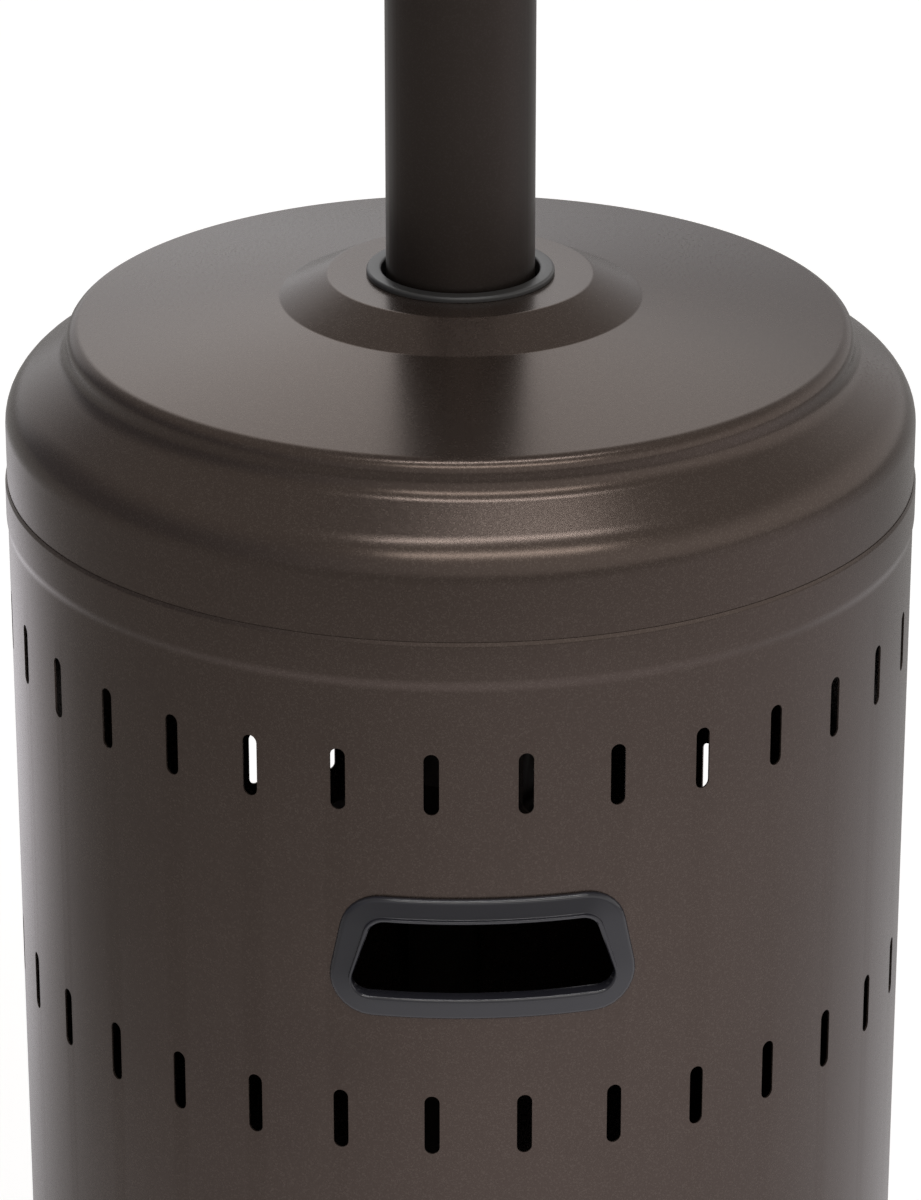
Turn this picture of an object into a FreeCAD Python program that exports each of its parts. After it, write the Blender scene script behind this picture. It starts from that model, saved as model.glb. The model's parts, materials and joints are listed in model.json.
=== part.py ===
import FreeCAD, Part
import math
import os

import Sketcher

# Gas patio heater with a post, a lifting gas cylinder housing, a burner head and a reflector.
# Millimetres. Z is up, the floor is Z = 0 and the post's axis is X = Y = 0.
# The front, with the hand grip and the control knob, faces -Y. The wheels are at the back, +Y.

SIZES = {
    # Pressed base pan
    "base_radius": 228.5,
    "base_sheet": 2.0,
    "deck_radius": 196.0,
    "deck_rise": 10.0,
    "deck_draft": 1.5,
    "ledge_height": 22.0,
    "ledge_round": 7.0,
    "hem_height": 8.0,
    "hem_width": 30.0,
    "vent_radius": 27.0,
    "vent_circle": 68.0,
    "vent_count": 3,
    # Rubber feet under the hem
    "foot_radius": 14.0,
    "foot_count": 4,
    # Wheels, axle and their bracket
    "wheel_radius": 50.0,
    "wheel_width": 26.0,
    "wheel_floor_gap": 4.5,
    "wheel_setback": 50.0,
    "wheel_rim_depth": 11.0,
    "wheel_spoke_margin": 3.0,
    "wheel_web": 7.0,
    "wheel_hub_radius": 12.0,
    "wheel_window_count": 6,
    "wheel_window_angle": 38.0,
    "wheel_side_gap": 3.0,
    "axle_radius": 5.0,
    "axle_running_gap": 0.08,
    "axle_end": 4.0,
    "cap_radius": 9.0,
    "cap_wall": 2.0,
    "ear_spacing": 120.0,
    "ear_sheet": 3.0,
    "ear_width": 28.0,
    "ear_round": 11.0,
    "hem_bolt_inset": 18.0,
    # Three brackets that carry the post over the gas cylinder
    "leg_radius": 182.0,
    "leg_width": 34.0,
    "leg_sheet": 3.0,
    "leg_foot": 32.0,
    "leg_straight": 470.0,
    "leg_rise": 46.0,
    "leg_top": 590.0,
    "leg_bend": 8.0,
    "leg_spread": 68.0,
    "leg_hole_edge": 17.0,
    "leg_hole_pitch": 30.0,
    # Bolts and nuts
    "bolt_radius": 4.0,
    "bolt_hole_gap": 0.3,
    "bolt_head_radius": 7.5,
    "bolt_head_height": 5.3,
    "bolt_tail": 2.0,
    "nut_height": 6.5,
    "screw_radius": 2.5,
    "screw_head_radius": 4.75,
    "screw_head_height": 2.8,
    # Post
    "post_radius": 32.5,
    "post_wall": 1.5,
    "post_clearance": 528.0,
    "post_length": 1260.0,
    # Gas cylinder housing
    "housing_radius": 200.0,
    "housing_sheet": 0.8,
    "housing_height": 682.0,
    "flare_step": 0.7,
    "flare_height": 22.0,
    "joggle_height": 12.0,
    # Ventilation slots
    "slot_count": 32,
    "slot_phase": 5.0,
    "slot_length": 27.6,
    "slot_width": 6.5,
    "slot_drop": 64.0,
    "slot_pitch": 158.9,
    # Hand grips and their windows
    "grip_drop": 143.6,
    "grip_opening_height": 32.0,
    "grip_opening_foot": 112.0,
    "grip_opening_head": 96.0,
    "grip_opening_round": 7.0,
    "grip_flange_width": 10.5,
    "grip_flange_round": 15.0,
    "grip_flange": 2.6,
    "grip_wall": 1.8,
    "grip_lip": 1.4,
    "grip_depth": 16.0,
    "grip_fit": 0.3,
    "grip_seat_gap": 0.1,
    # Stepped lid of the housing
    "lid_sheet": 0.8,
    "lid_fit": 0.1,
    "lid_overlap": 23.5,
    "lid_shoulder_height": 36.6,
    "lid_shoulder_round": 21.8,
    "lid_cove_radius": 172.1,
    "lid_cove_height": 55.0,
    "lid_cove_round": 10.5,
    "lid_crown_radius": 172.1,
    "lid_crown_height": 67.7,
    "lid_crown_round": 6.4,
    "lid_boss_foot": 79.0,
    "lid_boss_foot_height": 79.0,
    "lid_boss_radius": 58.0,
    "lid_boss_height": 89.4,
    # Grommet between lid and post
    "grommet_gap": 1.9,
    "grommet_wall": 3.0,
    "grommet_rim": 3.6,
    "grommet_rim_height": 2.6,
    "grommet_bevel": 1.2,
    "grommet_clip": 2.2,
    "grommet_clip_height": 3.0,
    "grommet_fit": 0.2,
    # Control housing of the head
    "collar_length": 60.0,
    "collar_gap": 0.2,
    "head_sheet": 1.2,
    "head_radius": 96.0,
    "head_flare": 36.0,
    "head_height": 125.0,
    "head_flare_round": 24.0,
    "head_neck_round": 14.0,
    "head_lip": 10.0,
    "panel_hole_gap": 0.3,
    "air_hole_radius": 5.0,
    "air_hole_rise": 104.0,
    "air_hole_count": 8,
    "collar_screw_rise": 30.0,
    "collar_screw_count": 3,
    # Gas valve and control knob
    "valve_rise": 66.0,
    "valve_setback": 14.0,
    "valve_depth": 34.0,
    "valve_width": 32.0,
    "valve_height": 44.0,
    "valve_round": 4.0,
    "valve_neck_radius": 6.0,
    "valve_neck_proud": 5.0,
    "valve_nut_height": 3.5,
    "valve_nut_radius": 10.0,
    "stem_radius": 3.0,
    "stem_gap": 0.1,
    "stem_flat": 1.5,
    "stem_proud": 16.0,
    "plunger_length": 14.0,
    "plunger_radius": 2.4,
    "push_travel": 4.0,
    "bore_run_out": 1.0,
    "knob_radius": 22.0,
    "knob_skirt": 5.0,
    "knob_height": 9.0,
    "knob_chamfer": 4.5,
    "knob_round": 1.6,
    "knob_gap": 1.0,
    "knob_bar_width": 10.0,
    "knob_bar_height": 10.0,
    "knob_bar_length": 40.0,
    "knob_bar_round": 3.0,
    # Push button igniter
    "igniter_angle": 35.0,
    "igniter_radius": 9.0,
    "igniter_length": 42.0,
    "igniter_flange": 3.0,
    "igniter_flange_height": 2.5,
    "igniter_nut_height": 4.0,
    "button_radius": 6.4,
    "button_gap": 0.1,
    "button_proud": 8.0,
    "button_depth": 14.0,
    "button_travel": 6.0,
    "button_round": 1.6,
    # Gas pipes, jet, mixing tube and burner
    "pipe_radius": 4.0,
    "pipe_rise": 18.0,
    "pipe_offset": 12.0,
    "inlet_drop": 28.0,
    "fitting_radius": 7.9,
    "fitting_hex": 9.5,
    "fitting_thread": 14.0,
    "fitting_body": 10.0,
    "fitting_bore": 3.0,
    "jet_radius": 6.0,
    "jet_body": 8.0,
    "jet_nose": 8.0,
    "jet_tip": 2.0,
    "mixer_radius": 15.0,
    "mixer_wall": 1.0,
    "mixer_length": 44.0,
    "hole_fit": 0.1,
    "burner_stand": 14.0,
    "burner_plate_sheet": 1.5,
    "burner_radius": 40.0,
    "burner_height": 18.0,
    "burner_wall": 1.5,
    "burner_port_radius": 4.0,
    "burner_port_count": 12,
    # Pilot group
    "pilot_circle": 58.0,
    "pilot_angle": 25.0,
    "pilot_radius": 3.5,
    "pilot_height": 30.0,
    "probe_radius": 2.0,
    "probe_height": 40.0,
    "pilot_pitch": 12.0,
    "pilot_shelf_height": 16.0,
    "pilot_shelf_half": 20.0,
    "pilot_strip": 10.0,
    "pilot_sheet": 1.2,
    # Tilt switch
    "tilt_radius": 9.0,
    "tilt_height": 26.0,
    "tilt_circle": 76.0,
    # Emitter screen and its cap
    "emitter_radius": 86.0,
    "emitter_sheet": 0.8,
    "emitter_height": 240.0,
    "emitter_hole_radius": 5.5,
    "emitter_hole_columns": 16,
    "emitter_hole_rows": 4,
    "emitter_hole_pitch": 52.0,
    "emitter_cap_rim": 10.0,
    "emitter_cap_overhang": 6.0,
    "emitter_cap_sheet": 1.5,
    # Reflector, its studs and wing nuts
    "stud_circle": 60.0,
    "stud_count": 3,
    "stud_hex": 6.5,
    "stud_height": 50.0,
    "stud_thread": 3.0,
    "stud_hole_gap": 0.5,
    "reflector_radius": 407.5,
    "reflector_sheet": 1.0,
    "reflector_flat": 78.0,
    "reflector_step": 10.0,
    "reflector_step_run": 12.0,
    "reflector_mid_radius": 250.0,
    "reflector_mid_drop": 36.0,
    "reflector_outer_radius": 350.0,
    "reflector_outer_drop": 66.0,
    "reflector_drop": 96.0,
    "reflector_roll": 8.0,
    "wing_hub_radius": 6.0,
    "wing_hub_height": 7.0,
    "wing_span": 30.0,
    "wing_height": 13.0,
    "wing_sheet": 2.5,
}

# Sides of a bolt head or nut, and of a hole in the emitter screen
HEX_SIDES = 6
HOLE_SIDES = 4
# Flats that stand for a round: at a corner of a turned section, and at each end of a slot
ROUND_FLATS = 3
SLOT_END_FLATS = 3

doc = FreeCAD.newDocument("patio_heater")
sheet = doc.addObject("Spreadsheet::Sheet", "sizes")
for row, (alias, size) in enumerate(SIZES.items(), start=1):
    sheet.set(f"A{row}", alias)
    sheet.set(f"B{row}", str(size))
    sheet.setAlias(f"B{row}", alias)
doc.recompute()


class Size:
    """A size worked out from the sheet's cells, kept as the expression that gives it."""

    def __init__(self, text):
        self.text = str(text)

    def __str__(self):
        return self.text

    def __add__(self, other):
        return Size(f"({self} + {other})")

    def __radd__(self, other):
        return Size(f"({other} + {self})")

    def __sub__(self, other):
        return Size(f"({self} - {other})")

    def __rsub__(self, other):
        return Size(f"({other} - {self})")

    def __mul__(self, other):
        return Size(f"({self} * {other})")

    def __rmul__(self, other):
        return Size(f"({other} * {self})")

    def __truediv__(self, other):
        return Size(f"({self} / {other})")

    def __rtruediv__(self, other):
        return Size(f"({other} / {self})")

    def __neg__(self):
        return Size(f"(-1 * {self})")


class Cells:
    """Gives each cell of the sheet as a Size under its alias."""

    def __getattr__(self, alias):
        if alias not in SIZES:
            raise AttributeError(alias)
        return Size(f"sizes.{alias}")


dim = Cells()


def number(size):
    """Return the present value of a size."""
    result = sheet.evalExpression(str(size))
    return float(getattr(result, "Value", result))


def sine(angle):
    """Return the sine of an angle in degrees."""
    return Size(f"sin({angle} * 1deg)")


def cosine(angle):
    """Return the cosine of an angle in degrees."""
    return Size(f"cos({angle} * 1deg)")


def root(size):
    """Return the square root of a size, such as a sum of squares."""
    return Size(f"sqrt({size})")


def bind(thing, **sizes):
    """Bind properties of an object to sizes; two underscores in a name stand for a dot."""
    for name, size in sizes.items():
        thing.setExpression(name.replace("__", "."), str(size))


def new_body(label):
    """Start a body whose label is also its node's name."""
    body = doc.addObject("PartDesign::Body", label)
    body.Label = label
    return body


def origin_feature(body, role):
    """Return one of a body's own origin planes or axes."""
    return next(item for item in body.Origin.OriginFeatures if item.Role == role)


def sketch_on(body, role, name, level=0):
    """Put a sketch on one of the body's origin planes, or at a level along its normal."""
    sketch = body.newObject("Sketcher::SketchObject", f"{body.Label}_{name}")
    sketch.AttachmentSupport = [(origin_feature(body, role), "")]
    sketch.MapMode = "FlatFace"
    bind(sketch, AttachmentOffset__Base__z=level)
    return sketch


def sketch_facing(body, name, azimuth, radius):
    """Put a sketch square to the radius, at an azimuth from the front (-Y) towards +X."""
    sketch = sketch_on(body, "XZ_Plane", name)
    turn = FreeCAD.Rotation(FreeCAD.Vector(0, 1, 0), 1)
    sketch.AttachmentOffset = FreeCAD.Placement(FreeCAD.Vector(), turn)
    bind(
        sketch,
        AttachmentOffset__Rotation__Angle=azimuth,
        AttachmentOffset__Base__x=radius * sine(azimuth),
        AttachmentOffset__Base__z=radius * cosine(azimuth),
    )
    return sketch


def place_point(rules, ties, geometry, position, x, y):
    """Tie a point of a sketch to its two sizes, from the sketch's origin."""
    for kind, size, axis in (("DistanceX", x, -2), ("DistanceY", y, -1)):
        if str(size) == "0":
            rules.append(Sketcher.Constraint("PointOnObject", geometry, position, axis))
        else:
            ties[len(rules)] = size
            rules.append(Sketcher.Constraint(kind, -1, 1, geometry, position, number(size)))


def settle(sketch, rules, ties):
    """Give a sketch its constraints and bind their values."""
    first = sketch.ConstraintCount
    sketch.addConstraint(rules)
    for index, size in ties.items():
        sketch.setExpression(f"Constraints[{first + index}]", str(size))


def chords(sketch, arc, bend, left_turn, flats, before, after):
    """Draw equal chords along an arc, from the side before it to the side after it."""
    first, last = arc.FirstParameter, arc.LastParameter
    if not left_turn:
        first, last = last, first
    points = [arc.value(first + (last - first) * step / flats) for step in range(flats + 1)]
    lines = [
        sketch.addGeometry(Part.LineSegment(points[step], points[step + 1]), False)
        for step in range(flats)
    ]
    rules = [Sketcher.Constraint("Coincident", before, 2, lines[0], 1)]
    for line, following in zip(lines, lines[1:]):
        rules.append(Sketcher.Constraint("Coincident", line, 2, following, 1))
        rules.append(Sketcher.Constraint("PointOnObject", line, 2, bend))
        rules.append(Sketcher.Constraint("Equal", line, following))
    rules.append(Sketcher.Constraint("Coincident", lines[-1], 2, after, 1))
    return rules


def outline(sketch, corners, closed=True, flats=0):
    """Draw an outline of straight sides, or an open path.

    A corner's third size rounds it with an arc, or with that many equal chords of the arc.
    """
    points = [FreeCAD.Vector(number(corner[0]), number(corner[1]), 0) for corner in corners]
    count = len(points)
    arrive, leave, arcs = [], [], []
    for index, corner in enumerate(corners):
        here = points[index]
        back = (points[index - 1] - here).normalize()
        onward = (points[(index + 1) % count] - here).normalize()
        if len(corner) < 3:
            arrive.append(here)
            leave.append(here)
            arcs.append(None)
            continue
        radius = number(corner[2])
        half = back.getAngle(onward) / 2
        run = radius / math.tan(half)
        centre = here + (back + onward).normalize() * (radius / math.sin(half))
        arrive.append(here + back * run)
        leave.append(here + onward * run)
        left_turn = (onward.x * back.y - onward.y * back.x) > 0
        ends = (arrive[-1], leave[-1]) if left_turn else (leave[-1], arrive[-1])
        angles = [math.atan2(end.y - centre.y, end.x - centre.x) for end in ends]
        circle = Part.Circle(centre, FreeCAD.Vector(0, 0, 1), radius)
        arcs.append((Part.ArcOfCircle(circle, *angles), left_turn))
    first = sketch.GeometryCount
    side_count = count if closed else count - 1
    sides = [Part.LineSegment(leave[i], arrive[(i + 1) % count]) for i in range(side_count)]
    sketch.addGeometry(sides, False)
    rules, ties = [], {}
    for index, corner in enumerate(corners):
        before = first + (index - 1) % count
        after = first + index
        if not closed and index in (0, count - 1):
            side, end = (after, 1) if index == 0 else (before, 2)
            place_point(rules, ties, side, end, corner[0], corner[1])
            continue
        if arcs[index] is None:
            rules.append(Sketcher.Constraint("Coincident", before, 2, after, 1))
            place_point(rules, ties, after, 1, corner[0], corner[1])
            continue
        arc, left_turn = arcs[index]
        bend = sketch.addGeometry(arc, flats > 0)
        apex = sketch.addGeometry(Part.Point(points[index]), True)
        start, end = (1, 2) if left_turn else (2, 1)
        rules.append(Sketcher.Constraint("Tangent", before, 2, bend, start))
        rules.append(Sketcher.Constraint("Tangent", bend, end, after, 1))
        rules.append(Sketcher.Constraint("PointOnObject", apex, 1, before))
        rules.append(Sketcher.Constraint("PointOnObject", apex, 1, after))
        ties[len(rules)] = corner[2]
        rules.append(Sketcher.Constraint("Radius", bend, number(corner[2])))
        place_point(rules, ties, apex, 1, corner[0], corner[1])
        if flats:
            rules += chords(sketch, arc, bend, left_turn, flats, before, after)
    settle(sketch, rules, ties)


def circle(sketch, x, y, radius):
    """Draw a circle."""
    centre = FreeCAD.Vector(number(x), number(y), 0)
    ring = sketch.addGeometry(Part.Circle(centre, FreeCAD.Vector(0, 0, 1), number(radius)), False)
    rules, ties = [], {}
    place_point(rules, ties, ring, 3, x, y)
    ties[len(rules)] = radius
    rules.append(Sketcher.Constraint("Radius", ring, number(radius)))
    settle(sketch, rules, ties)


def polygon(sketch, x, y, radius, sides):
    """Draw a regular polygon by the radius to its corners, as for a hexagon head."""
    turn = 360 / sides
    corners = [(x + radius * cosine(turn * k), y + radius * sine(turn * k)) for k in range(sides)]
    outline(sketch, corners)


def revolve(body, corners, name="section"):
    """Turn a section, given as radius and height, a full turn about the body's Z axis."""
    sketch = sketch_on(body, "XZ_Plane", name)
    outline(sketch, corners, flats=ROUND_FLATS)
    feature = body.newObject("PartDesign::Revolution", f"{body.Label}_{name}_turned")
    feature.Profile = sketch
    feature.ReferenceAxis = (sketch, ["V_Axis"])
    feature.Angle = 360
    return feature


def pad(body, sketch, length, both_sides=False):
    """Raise a sketch along its normal, or half to each side."""
    feature = body.newObject("PartDesign::Pad", f"{sketch.Label}_pad")
    feature.Profile = sketch
    bind(feature, Length=length)
    if both_sides:
        feature.SideType = "Symmetric"
    return feature


def pocket(body, sketch, depth, upward=False):
    """Cut a sketch against its normal, or along it, and see that it cuts."""
    doc.recompute()
    before = body.Shape.Volume
    feature = body.newObject("PartDesign::Pocket", f"{sketch.Label}_cut")
    feature.Profile = sketch
    feature.Reversed = upward
    bind(feature, Length=depth)
    doc.recompute()
    if body.Shape.Volume >= before:
        raise ValueError(f"{feature.Label} cuts nothing")
    return feature


def cut_through(body, sketch, wall):
    """Cut a sketch that faces a round wall, one thickness off it, to one thickness inside it."""
    return pocket(body, sketch, 3 * wall)


def polar(body, features, count):
    """Repeat features evenly round the body's Z axis."""
    pattern = body.newObject("PartDesign::PolarPattern", f"{features[-1].Label}_ring")
    pattern.Originals = features
    pattern.Axis = (origin_feature(body, "Z_Axis"), [""])
    pattern.Angle = 360
    bind(pattern, Occurrences=count)
    body.Tip = pattern
    return pattern


def mirrored(body, features, role):
    """Mirror features in one of the body's origin planes."""
    pattern = body.newObject("PartDesign::Mirrored", f"{features[-1].Label}_pair")
    pattern.Originals = features
    pattern.MirrorPlane = (origin_feature(body, role), [""])
    body.Tip = pattern
    return pattern


def face_out(body, azimuth, height):
    """Turn a part that is modelled upright to point away from the post at an azimuth."""
    body.Placement = FreeCAD.Placement(FreeCAD.Vector(), FreeCAD.Rotation(1, 0, 90))
    bind(body, Placement__Rotation__Yaw=azimuth, Placement__Base__z=height)


# Heights that several pieces share
deck_height = dim.ledge_height + dim.deck_rise
rim_height = dim.ledge_height + dim.housing_height
post_foot = deck_height + dim.post_clearance
post_top = post_foot + dim.post_length
valve_height = post_top + dim.valve_rise
head_top = post_top + dim.head_height
burner_floor = head_top + dim.burner_plate_sheet
emitter_top = burner_floor + dim.emitter_height
cap_top = emitter_top + dim.emitter_cap_sheet
reflector_seat = cap_top + dim.stud_height
reflector_top = reflector_seat + dim.reflector_sheet
axle_height = dim.wheel_radius + dim.wheel_floor_gap
axle_back = dim.base_radius + dim.wheel_setback
bolt_hole = dim.bolt_radius + dim.bolt_hole_gap
screw_hole = dim.screw_radius + dim.bolt_hole_gap
leg_azimuths = {"right": dim.leg_spread, "left": -dim.leg_spread, "rear": Size(180)}
leg_angles = {side: azimuth - 90 for side, azimuth in leg_azimuths.items()}
leg_bolt_circle = dim.leg_radius - dim.leg_hole_edge
leg_spots = [(leg_bolt_circle * cosine(a), leg_bolt_circle * sine(a)) for a in leg_angles.values()]
leg_nut_foot = deck_height - dim.base_sheet - dim.nut_height
post_bolt_high = deck_height + dim.leg_top - dim.leg_hole_edge / 2
post_bolt_heights = [post_bolt_high, post_bolt_high - dim.leg_hole_pitch]
hem_circle = dim.base_radius - dim.hem_width / 2
hem_bolt_x = dim.ear_spacing / 2 - dim.hem_bolt_inset
hem_bolt_y = root(hem_circle * hem_circle - hem_bolt_x * hem_bolt_x)


def base_plate():
    """Pressed pan: a raised deck centres the housing, which stands on the ledge round it."""
    body = new_body("base_plate")
    wall = dim.base_sheet
    step_foot = dim.deck_radius + dim.deck_draft
    revolve(body, [
        (0, deck_height - wall),
        (0, deck_height),
        (dim.deck_radius, deck_height),
        (step_foot, dim.ledge_height),
        (dim.base_radius, dim.ledge_height, dim.ledge_round),
        (dim.base_radius, dim.hem_height),
        (dim.base_radius - dim.hem_width, dim.hem_height),
        (dim.base_radius - dim.hem_width, dim.hem_height + wall),
        (dim.base_radius - wall, dim.hem_height + wall),
        (dim.base_radius - wall, dim.ledge_height - wall, dim.ledge_round - wall),
        (step_foot - wall, dim.ledge_height - wall),
        (dim.deck_radius - wall, deck_height - wall),
    ])
    vents = sketch_on(body, "XY_Plane", "vent", deck_height)
    circle(vents, 0, -dim.vent_circle, dim.vent_radius)
    polar(body, [pocket(body, vents, wall)], dim.vent_count)
    bolt_holes = sketch_on(body, "XY_Plane", "bolt_hole", deck_height)
    for x, y in leg_spots:
        circle(bolt_holes, x, y, bolt_hole)
    pocket(body, bolt_holes, wall)
    hem_holes = sketch_on(body, "XY_Plane", "hem_hole", dim.hem_height + wall)
    for side in (-1, 1):
        circle(hem_holes, side * hem_bolt_x, hem_bolt_y, bolt_hole)
    pocket(body, hem_holes, wall)
    return body


def base_feet():
    """Rubber pads under the hem of the base."""
    body = new_body("base_feet")
    sketch = sketch_on(body, "XY_Plane", "foot")
    circle_radius = dim.base_radius - dim.foot_radius - dim.base_sheet
    angle = 180 / dim.foot_count
    circle(sketch, circle_radius * cosine(angle), circle_radius * sine(angle), dim.foot_radius)
    polar(body, [pad(body, sketch, dim.hem_height)], dim.foot_count)
    return body


def wheel_bracket():
    """Folded bracket: a tongue bolted under the hem and two ears that hold the axle."""
    body = new_body("wheel_bracket")
    half = dim.ear_spacing / 2
    tongue_front = dim.base_radius - dim.hem_width
    tongue = sketch_on(body, "XY_Plane", "tongue", dim.hem_height - dim.ear_sheet)
    outline(tongue, [
        (-half, tongue_front),
        (half, tongue_front),
        (half, axle_back + dim.ear_width / 2),
        (-half, axle_back + dim.ear_width / 2),
    ])
    pad(body, tongue, dim.ear_sheet)
    ear = sketch_on(body, "YZ_Plane", "ear", half - dim.ear_sheet)
    ear_low = dim.hem_height - dim.ear_sheet
    ear_high = axle_height + dim.ear_width / 2
    outline(ear, [
        (axle_back - dim.ear_width / 2, ear_low),
        (axle_back + dim.ear_width / 2, ear_low),
        (axle_back + dim.ear_width / 2, ear_high, dim.ear_round),
        (axle_back - dim.ear_width / 2, ear_high, dim.ear_round),
    ])
    circle(ear, axle_back, axle_height, dim.axle_radius + dim.axle_running_gap)
    mirrored(body, [pad(body, ear, dim.ear_sheet)], "YZ_Plane")
    holes = sketch_on(body, "XY_Plane", "hole", dim.hem_height)
    for side in (-1, 1):
        circle(holes, side * hem_bolt_x, hem_bolt_y, bolt_hole)
    pocket(body, holes, dim.ear_sheet)
    return body


def wheel_axle():
    """Steel rod through both ears and both wheels."""
    rod = doc.addObject("Part::Cylinder", "wheel_axle")
    rod.Label = "wheel_axle"
    half = dim.ear_spacing / 2 + dim.wheel_side_gap + dim.wheel_width + dim.axle_end
    bind(rod, Radius=dim.axle_radius, Height=2 * half)
    rod.Placement = FreeCAD.Placement(FreeCAD.Vector(), FreeCAD.Rotation(FreeCAD.Vector(0, 1, 0), 90))
    bind(rod, Placement__Base__x=-half, Placement__Base__y=axle_back, Placement__Base__z=axle_height)
    return rod


def axle_caps():
    """Push-on caps that close the two ends of the axle."""
    body = new_body("axle_caps")
    start = dim.ear_spacing / 2 + dim.wheel_side_gap + dim.wheel_width + dim.axle_running_gap
    depth = dim.axle_end - dim.axle_running_gap
    shell = sketch_on(body, "YZ_Plane", "shell", start)
    circle(shell, axle_back, axle_height, dim.cap_radius)
    cap = pad(body, shell, depth + dim.cap_wall)
    bore = sketch_on(body, "YZ_Plane", "bore", start + depth)
    circle(bore, axle_back, axle_height, dim.axle_radius)
    mirrored(body, [cap, pocket(body, bore, depth)], "YZ_Plane")
    return body


def wheel(label, side):
    """Moulded wheel: a rim, a web with windows between spokes, and a hub bored for the axle."""
    body = new_body(label)
    half = dim.wheel_width / 2
    web = dim.wheel_web / 2
    rim = dim.wheel_radius - dim.wheel_rim_depth
    bore = dim.axle_radius + dim.axle_running_gap
    revolve(body, [
        (bore, -half),
        (dim.wheel_hub_radius, -half),
        (dim.wheel_hub_radius, -web),
        (rim, -web),
        (rim, -half),
        (dim.wheel_radius, -half),
        (dim.wheel_radius, half),
        (rim, half),
        (rim, web),
        (dim.wheel_hub_radius, web),
        (dim.wheel_hub_radius, half),
        (bore, half),
    ])
    window = sketch_on(body, "XY_Plane", "window", web)
    near = dim.wheel_hub_radius + dim.wheel_spoke_margin
    far = rim - dim.wheel_spoke_margin
    spread = dim.wheel_window_angle / 2
    outline(window, [
        (near * cosine(spread), -near * sine(spread)),
        (far * cosine(spread), -far * sine(spread)),
        (far * cosine(spread), far * sine(spread)),
        (near * cosine(spread), near * sine(spread)),
    ])
    polar(body, [pocket(body, window, dim.wheel_web)], dim.wheel_window_count)
    body.Placement = FreeCAD.Placement(FreeCAD.Vector(), FreeCAD.Rotation(FreeCAD.Vector(0, 1, 0), 90))
    middle = dim.ear_spacing / 2 + dim.wheel_side_gap + half
    bind(
        body,
        Placement__Base__x=side * middle,
        Placement__Base__y=axle_back,
        Placement__Base__z=axle_height,
    )
    return body


def post_bracket(label, angle):
    """Bent steel strip from the deck, up past the gas cylinder and in to the post's wall."""
    body = new_body(label)
    sheet_wall = dim.leg_sheet
    straight_top = deck_height + dim.leg_straight
    slope_top = straight_top + dim.leg_rise
    strip_top = deck_height + dim.leg_top
    run = dim.leg_radius - dim.post_radius - sheet_wall
    slope = Size(f"(atan({dim.leg_rise} / {run}) / 1deg)")
    fold = sheet_wall * Size(f"tan((90 - {slope}) / 2 * 1deg)")
    inner_bend = dim.leg_bend - sheet_wall
    side = sketch_on(body, "XZ_Plane", "strip")
    outline(side, [
        (dim.leg_radius - dim.leg_foot, deck_height),
        (dim.leg_radius, deck_height, dim.leg_bend),
        (dim.leg_radius, straight_top, dim.leg_bend),
        (dim.post_radius + sheet_wall, slope_top, inner_bend),
        (dim.post_radius + sheet_wall, strip_top),
        (dim.post_radius, strip_top),
        (dim.post_radius, slope_top - fold, dim.leg_bend),
        (dim.leg_radius - sheet_wall, straight_top - fold, inner_bend),
        (dim.leg_radius - sheet_wall, deck_height + sheet_wall, inner_bend),
        (dim.leg_radius - dim.leg_foot, deck_height + sheet_wall),
    ])
    pad(body, side, dim.leg_width, both_sides=True)
    foot_hole = sketch_on(body, "XY_Plane", "foot_hole", deck_height + sheet_wall)
    circle(foot_hole, leg_bolt_circle, 0, bolt_hole)
    pocket(body, foot_hole, sheet_wall)
    top_holes = sketch_on(body, "YZ_Plane", "top_hole", dim.post_radius + sheet_wall)
    for height in post_bolt_heights:
        circle(top_holes, 0, height, bolt_hole)
    pocket(body, top_holes, sheet_wall)
    body.Placement = FreeCAD.Placement(FreeCAD.Vector(), FreeCAD.Rotation(FreeCAD.Vector(0, 0, 1), 1))
    bind(body, Placement__Rotation__Angle=angle)
    return body


def post():
    """Round tube, bolted to the brackets at its foot and carrying the head at its top."""
    body = new_body("post")
    inner = dim.post_radius - dim.post_wall
    revolve(body, [
        (inner, post_foot),
        (dim.post_radius, post_foot),
        (dim.post_radius, post_top),
        (inner, post_top),
    ])
    outside = dim.post_radius + dim.post_wall
    for side, azimuth in leg_azimuths.items():
        holes = sketch_facing(body, f"bolt_hole_{side}", azimuth, outside)
        for height in post_bolt_heights:
            circle(holes, 0, height, bolt_hole)
        cut_through(body, holes, dim.post_wall)
    clamp = sketch_facing(body, "screw_hole", 180 / dim.collar_screw_count, outside)
    circle(clamp, 0, post_top - dim.collar_screw_rise, screw_hole)
    polar(body, [cut_through(body, clamp, dim.post_wall)], dim.collar_screw_count)
    return body


def bracket_bolts():
    """Bolts that hold the brackets' feet to the deck, long enough for the nuts below."""
    body = new_body("bracket_bolts")
    seat = deck_height + dim.leg_sheet
    tip = leg_nut_foot - dim.bolt_tail
    heads = sketch_on(body, "XY_Plane", "head", seat)
    shanks = sketch_on(body, "XY_Plane", "shank", tip)
    for x, y in leg_spots:
        polygon(heads, x, y, dim.bolt_head_radius, HEX_SIDES)
        circle(shanks, x, y, dim.bolt_radius)
    pad(body, heads, dim.bolt_head_height)
    pad(body, shanks, seat - tip)
    return body


def bracket_nuts():
    """Nuts under the deck, on the brackets' bolts."""
    body = new_body("bracket_nuts")
    nuts = sketch_on(body, "XY_Plane", "nut", leg_nut_foot)
    for x, y in leg_spots:
        polygon(nuts, x, y, dim.bolt_head_radius, HEX_SIDES)
        circle(nuts, x, y, dim.bolt_radius)
    pad(body, nuts, dim.nut_height)
    return body


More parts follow.
